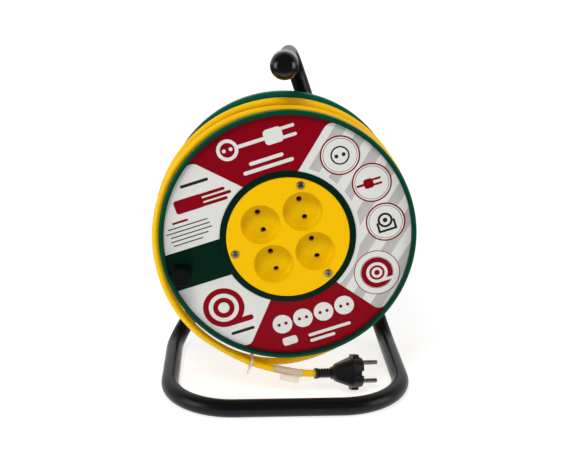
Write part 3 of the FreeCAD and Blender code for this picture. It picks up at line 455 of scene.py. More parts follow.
def surface(name, colour, roughness, grain=0.4, depth=0.02, drift=0.06, smudges=0.08,
            edge=0.4, rubbed=0.1, grime=0.2, pattern=None, **settings):
    """A finish for moulded, painted, drawn or plated parts.

    Colour is linear. Grain, depth and edge are in millimetres. Settings are sockets of the
    shader that stay the same all over. Pattern draws its own colour from the object's place.
    The recess setting paints shade: it darkens narrow hollows, found by ambient occlusion.
    """
    material, tree = new_material(name)
    place = add_node(tree, "ShaderNodeTexCoord").outputs["Object"]
    skin = use_group(tree, "Reel moulded skin",
                     {"Vector": place, "Grain size": grain, "Tone drift": drift,
                      "Smudges": smudges})
    edges = use_group(tree, "Reel soft edges", {"Vector": place, "Radius": edge * MM})
    base = pattern(tree, place) if pattern else (*colour, 1.0)
    grey = add_node(tree, "ShaderNodeCombineColor",
                    {0: skin["Tone"], 1: skin["Tone"], 2: skin["Tone"]})
    toned = blend_colours(tree, 1.0, base, grey.outputs[0], "MULTIPLY")
    light = tuple(min(1.0, channel * WORN_GAIN + WORN_LIFT) for channel in colour)
    worn = calculate(tree, "MULTIPLY", edges["Edge"], rubbed)
    shown = blend_colours(tree, worn, toned, (*light, 1.0))
    # Painted shade: narrow hollows, found by ambient occlusion, are darkened towards a near-black.
    painted_shade = calculate(tree, "MULTIPLY", edges["Recess"], grime)
    shown = blend_colours(tree, painted_shade, shown, RECESS_SHADE)
    rough = calculate(tree, "ADD", skin["Gloss loss"], roughness, clamp=True)
    bump = add_node(tree, "ShaderNodeBump",
                    {"Height": skin["Height"], "Normal": edges["Normal"],
                     "Distance": depth * MM, "Strength": 1.0})
    shader = add_node(tree, "ShaderNodeBsdfPrincipled",
                      {"Base Color": shown, "Roughness": rough, "Normal": bump.outputs[0]})
    for socket, value in settings.items():
        shader.inputs[socket.replace("_", " ")].default_value = value
    end = add_node(tree, "ShaderNodeOutputMaterial")
    tree.links.new(shader.outputs[0], end.inputs["Surface"])
    return material


# Settings

class ReelCable(bpy.types.PropertyGroup):
    """Sizes and colour of the cable on the drum."""

    diameter: FloatProperty(
        name="Cable diameter", description="Outside diameter of the sheath",
        default=0.0072, min=0.004, max=0.014, subtype="DISTANCE", unit="LENGTH")
    layer_radius: FloatProperty(
        name="Outer layer", description="Radius of the outer layer's centreline",
        default=0.1144, min=0.08, max=0.12, subtype="DISTANCE", unit="LENGTH")
    first_depth: FloatProperty(
        name="First turn", description="Depth of the first turn behind the socket panel's face",
        default=0.0099, min=0.0, max=0.05, subtype="DISTANCE", unit="LENGTH")
    last_depth: FloatProperty(
        name="Last turn", description="Depth of the last turn behind the socket panel's face",
        default=0.1081, min=0.05, max=0.15, subtype="DISTANCE", unit="LENGTH")
    turns: IntProperty(
        name="Turns", description="Turns of cable side by side in a layer",
        default=12, min=6, max=20)
    colour: FloatVectorProperty(
        name="Sheath", description="Colour of the cable's sheath",
        default=(1.0, 0.58, 0.0), size=3, min=0.0, max=1.0, subtype="COLOR")


class ReelPlastics(bpy.types.PropertyGroup):
    """Colours of the moulded parts."""

    # The front flange's field and the whole rear flange show this green with painted shade and
    # painted light.
    flange: FloatVectorProperty(
        name="Flanges", description="Colour of both flanges",
        default=(0.0, 0.066, 0.033), size=3, min=0.0, max=1.0, subtype="COLOR")
    panel: FloatVectorProperty(
        name="Socket panel", description="Colour of the socket panel",
        default=(0.90, 0.51, 0.0), size=3, min=0.0, max=1.0, subtype="COLOR")
    black: FloatVectorProperty(
        name="Black plastic", description="Colour of the knob, plug and handle cap",
        default=(0.006, 0.006, 0.0065), size=3, min=0.0, max=1.0, subtype="COLOR")


class ReelLabel(bpy.types.PropertyGroup):
    """The printed label on the front flange."""

    red: FloatVectorProperty(
        name="Red", description="Colour of the dark sectors",
        default=(0.235, 0.0, 0.0065), size=3, min=0.0, max=1.0, subtype="COLOR")
    white: FloatVectorProperty(
        name="White", description="Colour of the pale sectors",
        default=(0.702, 0.702, 0.670), size=3, min=0.0, max=1.0, subtype="COLOR")
    grey: FloatVectorProperty(
        name="Grey", description="Colour of the stripes",
        default=(0.45, 0.44, 0.42), size=3, min=0.0, max=1.0, subtype="COLOR")
    print_height: FloatProperty(
        name="Print height", description="How far the printed marks stand up",
        default=0.00006, min=0.00001, max=0.0003, subtype="DISTANCE", unit="LENGTH")


class ReelStage(bpy.types.PropertyGroup):
    """Camera, lamps and floor."""

    azimuth: FloatProperty(
        name="Camera azimuth", description="How far the camera stands to the left",
        default=math.radians(2.9), subtype="ANGLE", unit="ROTATION")
    elevation: FloatProperty(
        name="Camera elevation", description="How far the camera looks down",
        default=math.radians(16.61), subtype="ANGLE", unit="ROTATION")
    roll: FloatProperty(
        name="Camera roll", description="Tilt of the horizon",
        default=math.radians(0.33), subtype="ANGLE", unit="ROTATION")
    distance: FloatProperty(
        name="Camera distance", description="From the lens to the point it looks at",
        default=0.978, min=0.3, max=3.0, subtype="DISTANCE", unit="LENGTH")
    lens: FloatProperty(
        name="Focal length", description="For a sensor 36 mm wide",
        default=63.96, min=20.0, max=200.0)
    key: FloatProperty(
        name="Key lamp", description="Power of the lamp high in front at the left",
        default=16.0, min=0.0, max=200.0, unit="POWER")
    low: FloatProperty(
        name="Low lamp", description="Power of the lamp low in front",
        default=0.7, min=0.0, max=200.0, unit="POWER")
    side: FloatProperty(
        name="Side lamps", description="Power of each lamp at the left and right",
        default=6.5, min=0.0, max=200.0, unit="POWER")
    top: FloatProperty(
        name="Top lamp", description="Power of the wide lamp over the reel",
        default=8.0, min=0.0, max=200.0, unit="POWER")
    ambient: FloatProperty(
        name="Room light", description="Strength of the even light from all round",
        default=0.16, min=0.0, max=1.0)


# Cable

def lay_cord(name, points, diameter, steps):
    """A smooth cord whose line is pulled towards these points."""
    line = bpy.data.curves.new(name, "CURVE")
    line.dimensions = "3D"
    line.bevel_depth = diameter / 2
    line.bevel_resolution = 5
    line.resolution_u = steps
    line.use_fill_caps = True
    spline = line.splines.new("NURBS")
    spline.points.add(len(points) - 1)
    for knot, point in zip(spline.points, points):
        knot.co = (*point, 1.0)
    spline.order_u = 3
    spline.use_endpoint_u = True
    cord = bpy.data.objects.new(name, line)
    bpy.context.scene.collection.objects.link(cord)
    return cord


def helix(radius, first_depth, last_depth, turns):
    """Control points of a layer of turns, from the bottom of the drum to the bottom."""
    count = POINTS_PER_TURN * turns
    step = 360.0 / POINTS_PER_TURN
    outside = radius / math.cos(math.pi / POINTS_PER_TURN)
    pitch = (last_depth - first_depth) / count
    points = [round_drum(-90.0, radius / MM, first_depth / MM)]
    for k in range(count):
        depth = first_depth + pitch * (k + 0.5)
        points.append(round_drum(-90.0 + step * (k + 0.5), outside / MM, depth / MM))
    points.append(round_drum(-90.0, radius / MM, last_depth / MM))
    return points


def cable_material(settings):
    """The smooth sheath that all stretches of the cable share."""
    # Painted shade: the hollows between the turns are darkened at half strength.
    return surface("reel cable sheath", settings.colour, 0.30, grain=0.9, depth=0.012,
                   drift=0.10, smudges=0.12, edge=0.1, rubbed=0.0, grime=0.5,
                   Specular_IOR_Level=0.25)


class REEL_OT_winding(bpy.types.Operator):
    """Lay the wound cable: the outer layer, the layer under it and the turns below"""

    bl_idname = "reel.winding"
    bl_label = "Wound cable"

    def execute(self, context):
        cable = context.scene.reel_cable
        sheath = cable_material(cable)
        outer = lay_cord("cord_outer_layer",
                         helix(cable.layer_radius, cable.first_depth, cable.last_depth,
                               cable.turns), cable.diameter, 6)
        under_radius = cable.layer_radius - cable.diameter - LAYER_GAP
        under = lay_cord("cord_under_layer",
                         helix(under_radius, cable.last_depth, cable.first_depth, cable.turns),
                         cable.diameter, 4)
        for cord, radius, depth, node in (
            (outer, cable.layer_radius, cable.first_depth, "cable_winding"),
            (under, under_radius, cable.last_depth, "cable_core"),
        ):
            cord.data.materials.append(sheath)
            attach(cord, "drum")
            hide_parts(node)
        self.inner_turns(cable, under_radius, sheath)
        return {"FINISHED"}

    def inner_turns(self, cable, under_radius, sheath):
        """The turns below, of which only the crowns show between the others."""
        pitch = (cable.last_depth - cable.first_depth) / cable.turns
        middle = under_radius - cable.diameter - INNER_GAP
        deselect()
        bpy.ops.mesh.primitive_torus_add(
            location=(0, PANEL_FACE + cable.first_depth + pitch / 2, AXLE_HEIGHT),
            rotation=FACING_FRONT, major_segments=96, minor_segments=12,
            major_radius=middle, minor_radius=cable.diameter / 2)
        ring = bpy.context.object
        bpy.ops.object.transform_apply(location=True, rotation=True, scale=True)
        apply_modifier(ring, "ARRAY", count=cable.turns, use_relative_offset=False,
                       use_constant_offset=True, constant_offset_displace=(0, pitch, 0))
        bpy.ops.object.shade_smooth()
        finish_piece(ring, "cord_inner_turns", "drum", "cable_yellow", sheath)
        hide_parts("cable_core")


class REEL_OT_loose_end(bpy.types.Operator):
    """Lay the loose end round the drum, down to its plug"""

    bl_idname = "reel.loose_end"
    bl_label = "Loose end"

    def execute(self, context):
        cable = context.scene.reel_cable
        yaw = math.radians(PLUG_YAW)
        droop = math.radians(PLUG_DROOP)
        heading = Vector((math.cos(yaw) * math.cos(droop), math.sin(yaw) * math.cos(droop),
                          -math.sin(droop)))
        start = from_axle(*PLUG_START)
        points = [round_drum(*turn) for turn in LOOSE_TURNS]
        points += [from_axle(*LAST_BEND), start - heading * PLUG_LEAD * MM,
                   start + heading * SLEEVE_SOCKET * MM]
        tail = lay_cord("cord_loose_end", points, cable.diameter, 10)
        tail.data.materials.append(bpy.data.materials["reel cable sheath"])
        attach(tail, "stand")
        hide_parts("cable_tail")
        return {"FINISHED"}


# Label

def label_place(tree, place):
    """The label's own drawing plane: X across and Z up, turned with the drum."""
    mapping = add_node(tree, "ShaderNodeMapping",
                       {"Vector": place, "Location": (0, 0, AXLE_HEIGHT),
                        "Rotation": (0, -DRUM_TURN, 0)}, vector_type="TEXTURE")
    flat = add_node(tree, "ShaderNodeVectorMath",
                    {0: mapping.outputs[0], 1: (1, 0, 1)}, operation="MULTIPLY")
    return flat.outputs[0]


def label_pattern(tree, place):
    """Red sectors at top and bottom, white ones at the left, a striped one at the right."""
    label = bpy.context.scene.reel_label
    flat = label_place(tree, place)
    left, right = (
        use_group(tree, "Reel printed sector",
                  {"Vector": flat, "Reach": LABEL_REACH, "Corner": SECTOR_CORNER, **sector})["Mask"]
        for sector in (LEFT_SECTOR, RIGHT_SECTOR))
    across = calculate(tree, "MULTIPLY_ADD", dot(tree, flat, STRIPE_SIDE),
                       1 / STRIPE_PITCH, STRIPE_MARGIN / STRIPE_PITCH)
    phase = calculate(tree, "FRACT", across)
    striped = calculate(tree, "MULTIPLY_ADD", phase, -STRIPE_FADE, 1.0)
    for limit in (calculate(tree, "LESS_THAN", phase, STRIPE_SHARE),
                  calculate(tree, "GREATER_THAN", across, 0.0),
                  calculate(tree, "GREATER_THAN", length_of(tree, flat), STRIPE_START),
                  right):
        striped = calculate(tree, "MULTIPLY", striped, limit)
    pale = calculate(tree, "MAXIMUM", left, right)
    printed = blend_colours(tree, pale, (*label.red, 1.0), (*label.white, 1.0))
    return blend_colours(tree, striped, printed, (*label.grey, 1.0))


def disc(across, up, radius, lift=ON_FILM, sides=48):
    """A flat round mark."""
    deselect()
    bpy.ops.mesh.primitive_circle_add(vertices=sides, radius=radius * MM, fill_type="NGON",
                                      location=on_label(across, up, lift),
                                      rotation=ON_LABEL)
    return bpy.context.object


def hoop(across, up, radius, width, lift=ON_FILM):
    """A flat ring, made by insetting a disc and deleting its middle."""
    made = disc(across, up, radius, lift)
    bpy.ops.object.mode_set(mode="EDIT")
    bpy.ops.mesh.select_all(action="SELECT")
    bpy.ops.mesh.inset(thickness=width * MM)
    bpy.ops.mesh.delete(type="FACE")
    bpy.ops.object.mode_set(mode="OBJECT")
    return made


def bar(across, up, width, height, lift=ON_FILM, round_share=0.45):
    """A flat bar with rounded corners."""
    deselect()
    bpy.ops.mesh.primitive_plane_add(size=1.0, location=on_label(across, up, lift),
                                     rotation=ON_LABEL)
    made = bpy.context.object
    made.scale = (width * MM, height * MM, 1.0)
    bpy.ops.object.transform_apply(location=False, rotation=False, scale=True)
    bpy.ops.object.mode_set(mode="EDIT")
    bpy.ops.mesh.select_all(action="SELECT")
    bpy.ops.mesh.bevel(offset=min(width, height) * round_share * MM, segments=5,
                       affect="VERTICES")
    bpy.ops.object.mode_set(mode="OBJECT")
    return made


def print_marks(name, pieces, height, material):
    """Joins flat marks and gives them the thickness of the ink."""
    mark = joined(pieces)
    bpy.ops.object.transform_apply(location=True, rotation=True, scale=True)
    apply_modifier(mark, "SOLIDIFY", thickness=height, offset=1.0)
    return finish_piece(mark, name, "drum", "label_print", material)


class REEL_OT_label(bpy.types.Operator):
    """Print the label: coloured sectors, stripes, badges and plain pictures of its parts"""

    bl_idname = "reel.label"
    bl_label = "Label"

    def execute(self, context):
        label = context.scene.reel_label
        film = {"grain": 1.2, "depth": 0.004, "smudges": 0.10, "edge": 0.1, "rubbed": 0.0,
                "grime": 0.0, "Specular_IOR_Level": 0.07}
        dress(surface("reel label print", label.white, 0.34, pattern=label_pattern,
                      drift=0.02, **film), "label")
        inks = {
            "white": surface("reel white ink", label.white, 0.36, drift=0.02, **film),
            "red": surface("reel red ink", label.red, 0.36, drift=0.03, **film),
            "dark": surface("reel dark ink", DARK_INK, 0.38, drift=0.03, **film),
        }
        self.sector_marks(label, inks)
        self.badges(label, inks)
        return {"FINISHED"}

    def sector_marks(self, label, inks):
        """A lead with its plug, the cores of a cable, a coil and four sockets."""
        height = label.print_height
        lead = [hoop(-29, 100, 10.5, 3.4), disc(-32.4, 100, 1.8), disc(-25.6, 100, 1.8),
                bar(-5.5, 100, 28, 3.6, CROSSING), bar(16.5, 100, 18, 15, ON_FILM, 0.25),
                bar(31.5, 104.4, 14, 3.2, CROSSING), bar(31.5, 95.6, 14, 3.2, CROSSING)]
        lines = [bar(3.5, 80.5, 34, 3.6), bar(3.5, 73.2, 50, 3.6), bar(11, -104.3, 44, 3.2),
                 bar(2, -110.4, 26, 3.2), bar(-30, -103.6, 15, 8.5, ON_FILM, 0.3)]
        sockets = [disc(across, SOCKET_ROW_UP, 9.8) for across in SOCKET_ROW]
        print_marks("label_white_marks", lead + lines + sockets, height, inks["white"])
        cores = [bar(-80.5, 61.4, 28, 13.5, ON_FILM, 0.2), bar(-56, 66.3, 26, 3.2, CROSSING),
                 bar(-53.5, 61.4, 31, 3.2, CROSSING), bar(-56, 56.5, 26, 3.2, CROSSING)]
        coil = [hoop(-82, -49.5, 20.5, 5.6), hoop(-82, -49.5, 10.6, 5.0),
                bar(-70, -67.2, 26, 5.6, CROSSING)]
        holes = [disc(across + side, SOCKET_ROW_UP, 1.7, ON_WHITE)
                 for across in SOCKET_ROW for side in (-PIN_MARK_SIDE, PIN_MARK_SIDE)]
        print_marks("label_red_marks", cores + coil + holes + [bar(-94, 47.4, 16, 2.2)],
                    height, inks["red"])
        rules = [bar(-69, 79.6, 28, 3.0), bar(-71.5, -78.4, 24, 3.2)]
        rules += [bar(across, up, width, 1.1)
                  for across, up, width in ((-88, 42.6, 40), (-89, 38.4, 44), (-87, 34.2, 42),
                                            (-90, 30.0, 38), (-93, 25.8, 30))]
        print_marks("label_dark_marks", rules, height, inks["dark"])

    def badges(self, label, inks):
        """Three like badges, copied from one, and a larger one, each with its picture."""
        height = label.print_height
        first = self.badge("label_badge_1", SOCKET_BADGE, BADGE_RADIUS, BADGE_WIDTHS, height,
                           inks)
        for name, place in (("label_badge_2", PLUG_BADGE), ("label_badge_3", REEL_BADGE)):
            copied(first, name, on_label(*place, 0) - on_label(*SOCKET_BADGE, 0))
        self.badge("label_badge_4", COIL_BADGE, COIL_BADGE_RADIUS, COIL_BADGE_WIDTHS, height,
                   inks)
        across, up = SOCKET_BADGE
        dark = [hoop(across, up, 9.2, 1.5, ON_WHITE),
                disc(across - PIN_MARK_SIDE, up, 1.9, ON_WHITE),
                disc(across + PIN_MARK_SIDE, up, 1.9, ON_WHITE)]
        across, up = REEL_BADGE
        dark += [hoop(across, up + 1.9, 7.4, 2.2, ON_WHITE),
                 disc(across, up + 1.9, 2.3, ON_WHITE),
                 bar(across, up - 8.5, 19.0, 2.2, ON_WHITE),
                 bar(across - 8.2, up - 3.7, 2.2, 9.6, ON_WHITE + CROSSING),
                 bar(across + 8.2, up - 3.7, 2.2, 9.6, ON_WHITE + CROSSING)]
        print_marks("label_badge_dark_marks", dark, height, inks["dark"])
        across, up = PLUG_BADGE
        red = [bar(across - 3.2, up, 9.5, 9.5, ON_WHITE, 0.25),
               bar(across + 5.4, up + 2.6, 8.6, 2.2, ON_WHITE + CROSSING),
               bar(across + 5.4, up - 2.6, 8.6, 2.2, ON_WHITE + CROSSING),
               bar(across - 11.4, up, 8.0, 2.4, ON_WHITE + CROSSING),
               disc(*COIL_BADGE, 15.6, ON_WHITE)]
        print_marks("label_badge_red_marks", red, height, inks["red"])
        across, up = COIL_BADGE
        white = [hoop(across, up, 10.6, 3.0, ON_RED), hoop(across, up, 5.4, 2.6, ON_RED),
                 bar(across + 8.0, up - 9.1, 16.0, 3.0, ON_RED + CROSSING)]
        print_marks("label_badge_white_marks", white, height, inks["white"])

    def badge(self, name, place, radius, widths, height, inks):
        """A white disc with a red rim and a thin dark ring, all insets of one face."""
        made = disc(*place, radius, sides=64)
        made.data.materials.clear()
        for ink in ("white", "red", "dark"):
            made.data.materials.append(inks[ink])
        bpy.ops.object.mode_set(mode="EDIT")
        bpy.ops.mesh.select_all(action="SELECT")
        for width in widths:
            bpy.ops.mesh.inset(thickness=width * MM)
        bpy.ops.object.mode_set(mode="OBJECT")
        rim_inside = radius - widths[0]
        ring_inside = radius - sum(widths)
        near = 0.1
        for face in made.data.polygons:
            inside = min(made.data.vertices[v].co.length for v in face.vertices) / MM
            is_ring = len(face.vertices) == 4
            if is_ring and abs(inside - rim_inside) < near:
                face.material_index = 1
            elif is_ring and abs(inside - ring_inside) < near:
                face.material_index = 2
        apply_modifier(made, "SOLIDIFY", thickness=height, offset=1.0)
        bpy.ops.object.transform_apply(location=True, rotation=True, scale=True)
        made.name = name
        made.data.name = name
        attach(made, "drum")
        return made


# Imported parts, and the floors of the sockets

def flange_pattern(tree, place):
    """Painted shade: the green is darkened in the field and kept full on the thin rim."""
    green = bpy.context.scene.reel_plastics.flange
    centred = add_node(tree, "ShaderNodeVectorMath",
                       {0: place, 1: (0, 0, AXLE_HEIGHT)}, operation="SUBTRACT")
    flat = add_node(tree, "ShaderNodeVectorMath",
                    {0: centred.outputs[0], 1: (1, 0, 1)}, operation="MULTIPLY")
    rim = ramp(tree, length_of(tree, flat.outputs[0]), RIM_START, RIM_END)
    # Painted shade: the field inside the rim is darkened to a quarter of the rim's green.
    shaded_field = tuple(channel * FIELD_PAINTED_SHADE for channel in green)
    return blend_colours(tree, rim, (*shaded_field, 1.0), (*green, 1.0))


def panel_pattern(tree, place):
    """Yellow that is painted greener deep in the sockets, as painted light that offsets the orange
    of the light bounced by their yellow walls.
    """
    panel = bpy.context.scene.reel_plastics.panel
    inside = ramp(tree, dot(tree, place, (0, 1, 0)),
                  PANEL_FACE + SOCKET_PAINTED_LIGHT_START, PANEL_FACE + SOCKET_PAINTED_LIGHT_END)
    # Painted light: deep in the sockets the yellow is greener, offsetting the orange of the light
    # that their walls bounce.
    within = tuple(channel * share for channel, share in zip(panel, SOCKET_PAINTED_LIGHT))
    return blend_colours(tree, inside, (*panel, 1.0), (*within, 1.0))


class REEL_OT_socket_floors(bpy.types.Operator):
    """Cover the seam round each socket's insert with a floor that curves into the wall"""

    bl_idname = "reel.socket_floors"
    bl_label = "Socket floors"

    def execute(self, context):
        yellow = bpy.data.materials["reel yellow panel"]
        centres = []
        for number in range(1, 5):
            low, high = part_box(f"socket_insert_{number}")
            centres.append(Vector(((low.x + high.x) / 2, low.y, (low.z + high.z) / 2)))
        floor = self.dish(centres[0])
        pins = []
        upward = Matrix.Rotation(-DRUM_TURN, 3, "Y") @ Vector((0, 0, PIN_PITCH / 2))
        for place in (centres[0] + upward, centres[0] - upward):
            deselect()
            bpy.ops.mesh.primitive_cylinder_add(vertices=40, radius=PIN_HOLE / 2,
                                                depth=4 * FLOOR_THICKNESS, location=place,
                                                rotation=FACING_FRONT)
            pins.append(bpy.context.object)
        cutter = joined(pins)
        apply_modifier(floor, "BOOLEAN", operation="DIFFERENCE", object=cutter, solver="EXACT")
        bpy.data.objects.remove(cutter)
        first = finish_piece(floor, "socket_floor_1", "drum", "yellow_panel", yellow)
        for number, centre in enumerate(centres[1:], 2):
            copied(first, f"socket_floor_{number}", centre - centres[0])
        return {"FINISHED"}

    def dish(self, centre):
        """A disc hollowed from the front, whose floor curves up to the socket's wall."""
        deselect()
        bpy.ops.mesh.primitive_cylinder_add(
            vertices=96, radius=FLOOR_REACH, depth=FLOOR_RISE,
            location=centre - Vector((0, FLOOR_RISE / 2, 0)), rotation=FACING_FRONT)
        made = bpy.context.object
        self.edit_front(made)
        bpy.ops.mesh.inset(thickness=FLOOR_BRIM, depth=FLOOR_THICKNESS - FLOOR_RISE)
        bpy.ops.mesh.bevel(offset=FLOOR_CURVE, segments=8, affect="EDGES")
        bpy.ops.object.mode_set(mode="OBJECT")
        self.edit_front(made)
        bpy.ops.mesh.inset(thickness=FLOOR_BRIM)
        bpy.ops.object.mode_set(mode="OBJECT")
        return made

    def edit_front(self, made):
        """Edit mode, with the widest of the faces that look to the front selected."""
        bpy.ops.object.mode_set(mode="EDIT")
        bpy.ops.mesh.select_mode(type="FACE")
        bpy.ops.mesh.select_all(action="DESELECT")
        bpy.ops.object.mode_set(mode="OBJECT")
        level = 0.99
        fronts = [face for face in made.data.polygons if face.normal.z > level]
        max(fronts, key=lambda face: face.area).select = True
        bpy.ops.object.mode_set(mode="EDIT")


class REEL_OT_moulded(bpy.types.Operator):
    """Finish the moulded parts: flanges, barrel, panel, knob, bushes, caps and plug"""

    bl_idname = "reel.moulded"
    bl_label = "Moulded parts"

    def execute(self, context):
        plastics = context.scene.reel_plastics
        dress(surface("reel green plastic", plastics.flange, 0.30, pattern=flange_pattern,
                      grain=0.8, depth=0.008, edge=0.5, rubbed=0.1,
                      Specular_IOR_Level=0.08), "front_flange")
        # Painted light: the rear flange is the same green made brighter, as if lit more strongly.
        lit_green = tuple(channel * REAR_PAINTED_LIGHT for channel in plastics.flange)
        dress(surface("reel rear green plastic", lit_green, 0.30, grain=0.8, depth=0.008,
                      edge=0.5, rubbed=0.1, Specular_IOR_Level=0.10), "back_flange")
        dress(surface("reel barrel plastic", (0.02, 0.02, 0.02), 0.5), "barrel")
        dress(surface("reel yellow panel", plastics.panel, 0.42, grain=0.5, depth=0.010,
                      drift=0.04, edge=0.8, rubbed=0.0, grime=0.0, pattern=panel_pattern,
                      Specular_IOR_Level=0.06),
              "socket_panel", *(f"socket_insert_{number}" for number in range(1, 5)))
        deep_black = tuple(channel * KNOB_TONE for channel in plastics.black)
        dress(surface("reel knob plastic", deep_black, 0.38, grain=0.35, depth=0.015,
                      edge=0.5, rubbed=0.3, Specular_IOR_Level=0.12), "crank_knob", "knob_cap")
        dress(surface("reel plug rubber", plastics.black, 0.34, grain=0.3, depth=0.012,
                      edge=0.35, rubbed=0.3, Specular_IOR_Level=0.5),
              "plug_body", "plug_sleeve")
        dress(surface("reel handle cap", deep_black, 0.20, grain=0.9, depth=0.006,
                      edge=0.3, rubbed=0.1, smudges=0.05, Specular_IOR_Level=0.5),
              "handle_cap")
        dress(surface("reel natural nylon", (0.72, 0.70, 0.64), 0.45), "bush_front",
              "bush_rear", "thrust_washer")
        dress(surface("reel insulator", (0.60, 0.58, 0.52), 0.5), "contact_carrier",
              "lead_clamp")
        dress(surface("reel tie nylon", (0.98, 0.88, 0.72), 0.35, grain=0.5, depth=0.01,
                      grime=0.0, Alpha=0.5), "cable_tie")
        dress(surface("reel tape", (1.0, 0.86, 0.68), 0.38, grain=0.8, depth=0.02,
                      grime=0.0, Alpha=0.4), "cable_tag")
        return {"FINISHED"}


class REEL_OT_metal(bpy.types.Operator):
    """Finish the painted tube stand, the steel and brass parts and the inner wires"""

    bl_idname = "reel.metal"
    bl_label = "Stand and metal parts"

    def execute(self, context):
        dress(surface("reel black paint", (0.0042, 0.0037, 0.0046), 0.30, grain=1.4, depth=0.035,
                      drift=0.12, smudges=0.2, edge=0.4, rubbed=0.3, Specular_IOR_Level=0.24),
              "frame_tube", "frame_brace")
        # Painted shade: recesses such as the screws' cross slots are darkened at full strength.
        dress(surface("reel zinc steel", (0.46, 0.45, 0.43), 0.28, grain=0.25, depth=0.006,
                      edge=0.15, rubbed=0.4, grime=1.0, Metallic=1.0),
              "axle_collar", "axle_washer", "axle_insert", "axle_bolt", "drum_screws",
              "panel_screws", "carrier_screws", "clamp_screws", "knob_spindle", "knob_screw")
        dress(surface("reel nickel pins", (0.30, 0.28, 0.28), 0.26, grain=0.3, depth=0.003,
                      edge=0.3, rubbed=0.5, Metallic=1.0), "plug_pins")
        dress(surface("reel brass", (0.70, 0.48, 0.20), 0.28, grain=0.3, depth=0.004,
                      edge=0.2, rubbed=0.4, Metallic=1.0),
              "contact_strip_live", "contact_strip_neutral")
        dress(bpy.data.materials["reel cable sheath"], "inner_lead")
        dress(surface("reel brown wire", (0.12, 0.045, 0.02), 0.4), "wire_live")
        dress(surface("reel blue wire", (0.02, 0.09, 0.42), 0.4), "wire_neutral")
        return {"FINISHED"}


# Studio

def white_seen(tree):
    """1 where a ray comes from the camera, a mirror or glass, and 0 for the light it gives."""
    path = add_node(tree, "ShaderNodeLightPath")
    seen = calculate(tree, "MAXIMUM", path.outputs["Is Camera Ray"],
                     path.outputs["Is Glossy Ray"])
    return calculate(tree, "MAXIMUM", seen, path.outputs["Is Transmission Ray"])


def aim(thing, eye, target, roll=0.0):
    """Points a lamp or the camera from eye to target."""
    turn = (target - eye).to_track_quat("-Z", "Y").to_matrix()
    turn = turn @ Matrix.Rotation(roll, 3, "Z")
    thing.matrix_world = Matrix.Translation(eye) @ turn.to_4x4()


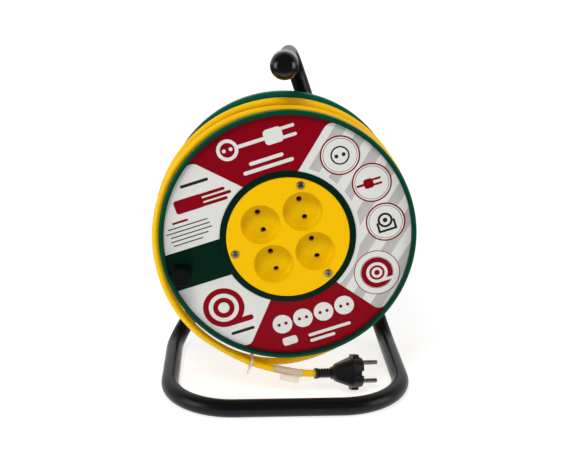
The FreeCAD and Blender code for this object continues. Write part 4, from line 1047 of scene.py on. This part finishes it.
class REEL_OT_stage(bpy.types.Operator):
    """Set up the pale floor, the soft lamps and the camera"""

    bl_idname = "reel.stage"
    bl_label = "Studio"

    def execute(self, context):
        stage = context.scene.reel_stage
        self.floor()
        self.room(context, stage)
        powers = {"key": stage.key, "low": stage.low, "top": stage.top,
                  "left": stage.side, "right": stage.side}
        for name, (place, width, mirrored) in LAMPS.items():
            self.lamp(name, Vector(place), width, powers[name], mirrored)
        self.camera(context, stage)
        context.scene.view_settings.view_transform = "Standard"
        return {"FINISHED"}

    def floor(self):
        """A pale round floor that fades to white away from the reel."""
        deselect()
        bpy.ops.mesh.primitive_circle_add(vertices=96, radius=FLOOR_RADIUS, fill_type="NGON",
                                          location=(0, 0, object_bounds()[0].z))
        floor = bpy.context.object
        floor.name = "studio_floor"
        material, tree = new_material("studio floor")
        place = add_node(tree, "ShaderNodeTexCoord").outputs["Object"]
        away = length_of(tree, place)
        glow = calculate(tree, "MULTIPLY", white_seen(tree), ramp(tree, away, *SEEN_GLOW))
        path = add_node(tree, "ShaderNodeLightPath").outputs
        bounced = calculate(tree, "MULTIPLY", path["Is Diffuse Ray"],
                            ramp(tree, away, *BOUNCED_GLOW))
        glow = calculate(tree, "ADD", glow, bounced)
        paleness = calculate(tree, "MULTIPLY_ADD", path["Is Camera Ray"],
                             SEEN_PALENESS - PALENESS, PALENESS)
        pale = add_node(tree, "ShaderNodeCombineColor", {0: paleness, 1: paleness, 2: paleness})
        paper = add_node(tree, "ShaderNodeBsdfDiffuse", {"Color": pale.outputs[0]})
        light = add_node(tree, "ShaderNodeEmission", {"Strength": glow})
        lit = add_node(tree, "ShaderNodeAddShader", {0: paper.outputs[0], 1: light.outputs[0]})
        mirrored = add_node(tree, "ShaderNodeEmission",
                            {"Strength": ramp(tree, away, *MIRRORED_GLOW)})
        both = add_node(tree, "ShaderNodeMixShader",
                        {0: path["Is Glossy Ray"], 1: lit.outputs[0], 2: mirrored.outputs[0]})
        end = add_node(tree, "ShaderNodeOutputMaterial")
        tree.links.new(both.outputs[0], end.inputs["Surface"])
        floor.data.materials.append(material)
        floor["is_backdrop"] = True

    def room(self, context, stage):
        """White for the camera, dim for light, and lit from one side in shiny parts."""
        world = bpy.data.worlds.new("studio room")
        context.scene.world = world
        world.use_nodes = True
        tree = world.node_tree
        tree.nodes.clear()
        toward = add_node(tree, "ShaderNodeTexCoord").outputs["Generated"]
        behind = ramp(tree, dot(tree, toward, ROOM_SIDE), *MIRRORED_ROOM)
        camera_ray = add_node(tree, "ShaderNodeLightPath").outputs["Is Camera Ray"]
        white = calculate(tree, "MAXIMUM", camera_ray, behind)
        strength = ramp(tree, white_seen(tree), 0.0, 1.0, stage.ambient, white)
        sky = add_node(tree, "ShaderNodeBackground",
                       {"Color": (1.0, 1.0, 1.0, 1.0), "Strength": strength})
        end = add_node(tree, "ShaderNodeOutputWorld")
        tree.links.new(sky.outputs[0], end.inputs["Surface"])

    def lamp(self, name, place, width, power, mirrored):
        """A square lamp that points at the reel."""
        deselect()
        bpy.ops.object.light_add(type="AREA", location=place)
        lamp = bpy.context.object
        lamp.name = f"studio_{name}"
        lamp.data.size = width
        lamp.data.energy = power
        lamp.visible_glossy = mirrored
        aim(lamp, place, LAMP_TARGET)

    def camera(self, context, stage):
        """The camera, as far from its target as the settings say."""
        level = math.cos(stage.elevation)
        back = Vector((-math.sin(stage.azimuth) * level, -math.cos(stage.azimuth) * level,
                       math.sin(stage.elevation)))
        deselect()
        bpy.ops.object.camera_add()
        camera = bpy.context.object
        camera.name = "studio_camera"
        camera.data.lens = stage.lens
        aim(camera, CAMERA_TARGET + back * stage.distance, CAMERA_TARGET, stage.roll)
        context.scene.camera = camera


# Panel and registration

STEPS = (REEL_OT_winding, REEL_OT_loose_end, REEL_OT_label, REEL_OT_moulded,
         REEL_OT_socket_floors, REEL_OT_metal, REEL_OT_stage)
SETTINGS = {"reel_cable": ReelCable, "reel_plastics": ReelPlastics, "reel_label": ReelLabel,
            "reel_stage": ReelStage}


class REEL_PT_sidebar(bpy.types.Panel):
    """Lists the reel's settings and steps"""

    bl_idname = "REEL_PT_sidebar"
    bl_label = "Extension cord reel"
    bl_space_type = "VIEW_3D"
    bl_region_type = "UI"
    bl_category = "Reel"

    def draw(self, context):
        for name, group in SETTINGS.items():
            box = self.layout.box()
            for field in group.__annotations__:
                box.prop(getattr(context.scene, name), field)
        for step in STEPS:
            self.layout.operator(step.bl_idname)


def register():
    for group in (*SETTINGS.values(), *STEPS, REEL_PT_sidebar):
        bpy.utils.register_class(group)
    for name, group in SETTINGS.items():
        setattr(bpy.types.Scene, name, PointerProperty(type=group))


def unregister():
    for name in SETTINGS:
        delattr(bpy.types.Scene, name)
    for group in reversed((*SETTINGS.values(), *STEPS, REEL_PT_sidebar)):
        bpy.utils.unregister_class(group)


def main():
    register()
    make_skin_group()
    make_edge_group()
    make_wedge_group()
    for step in STEPS:
        prefix, name = step.bl_idname.split(".")
        getattr(getattr(bpy.ops, prefix), name)()


if __name__ == "__main__":
    main()
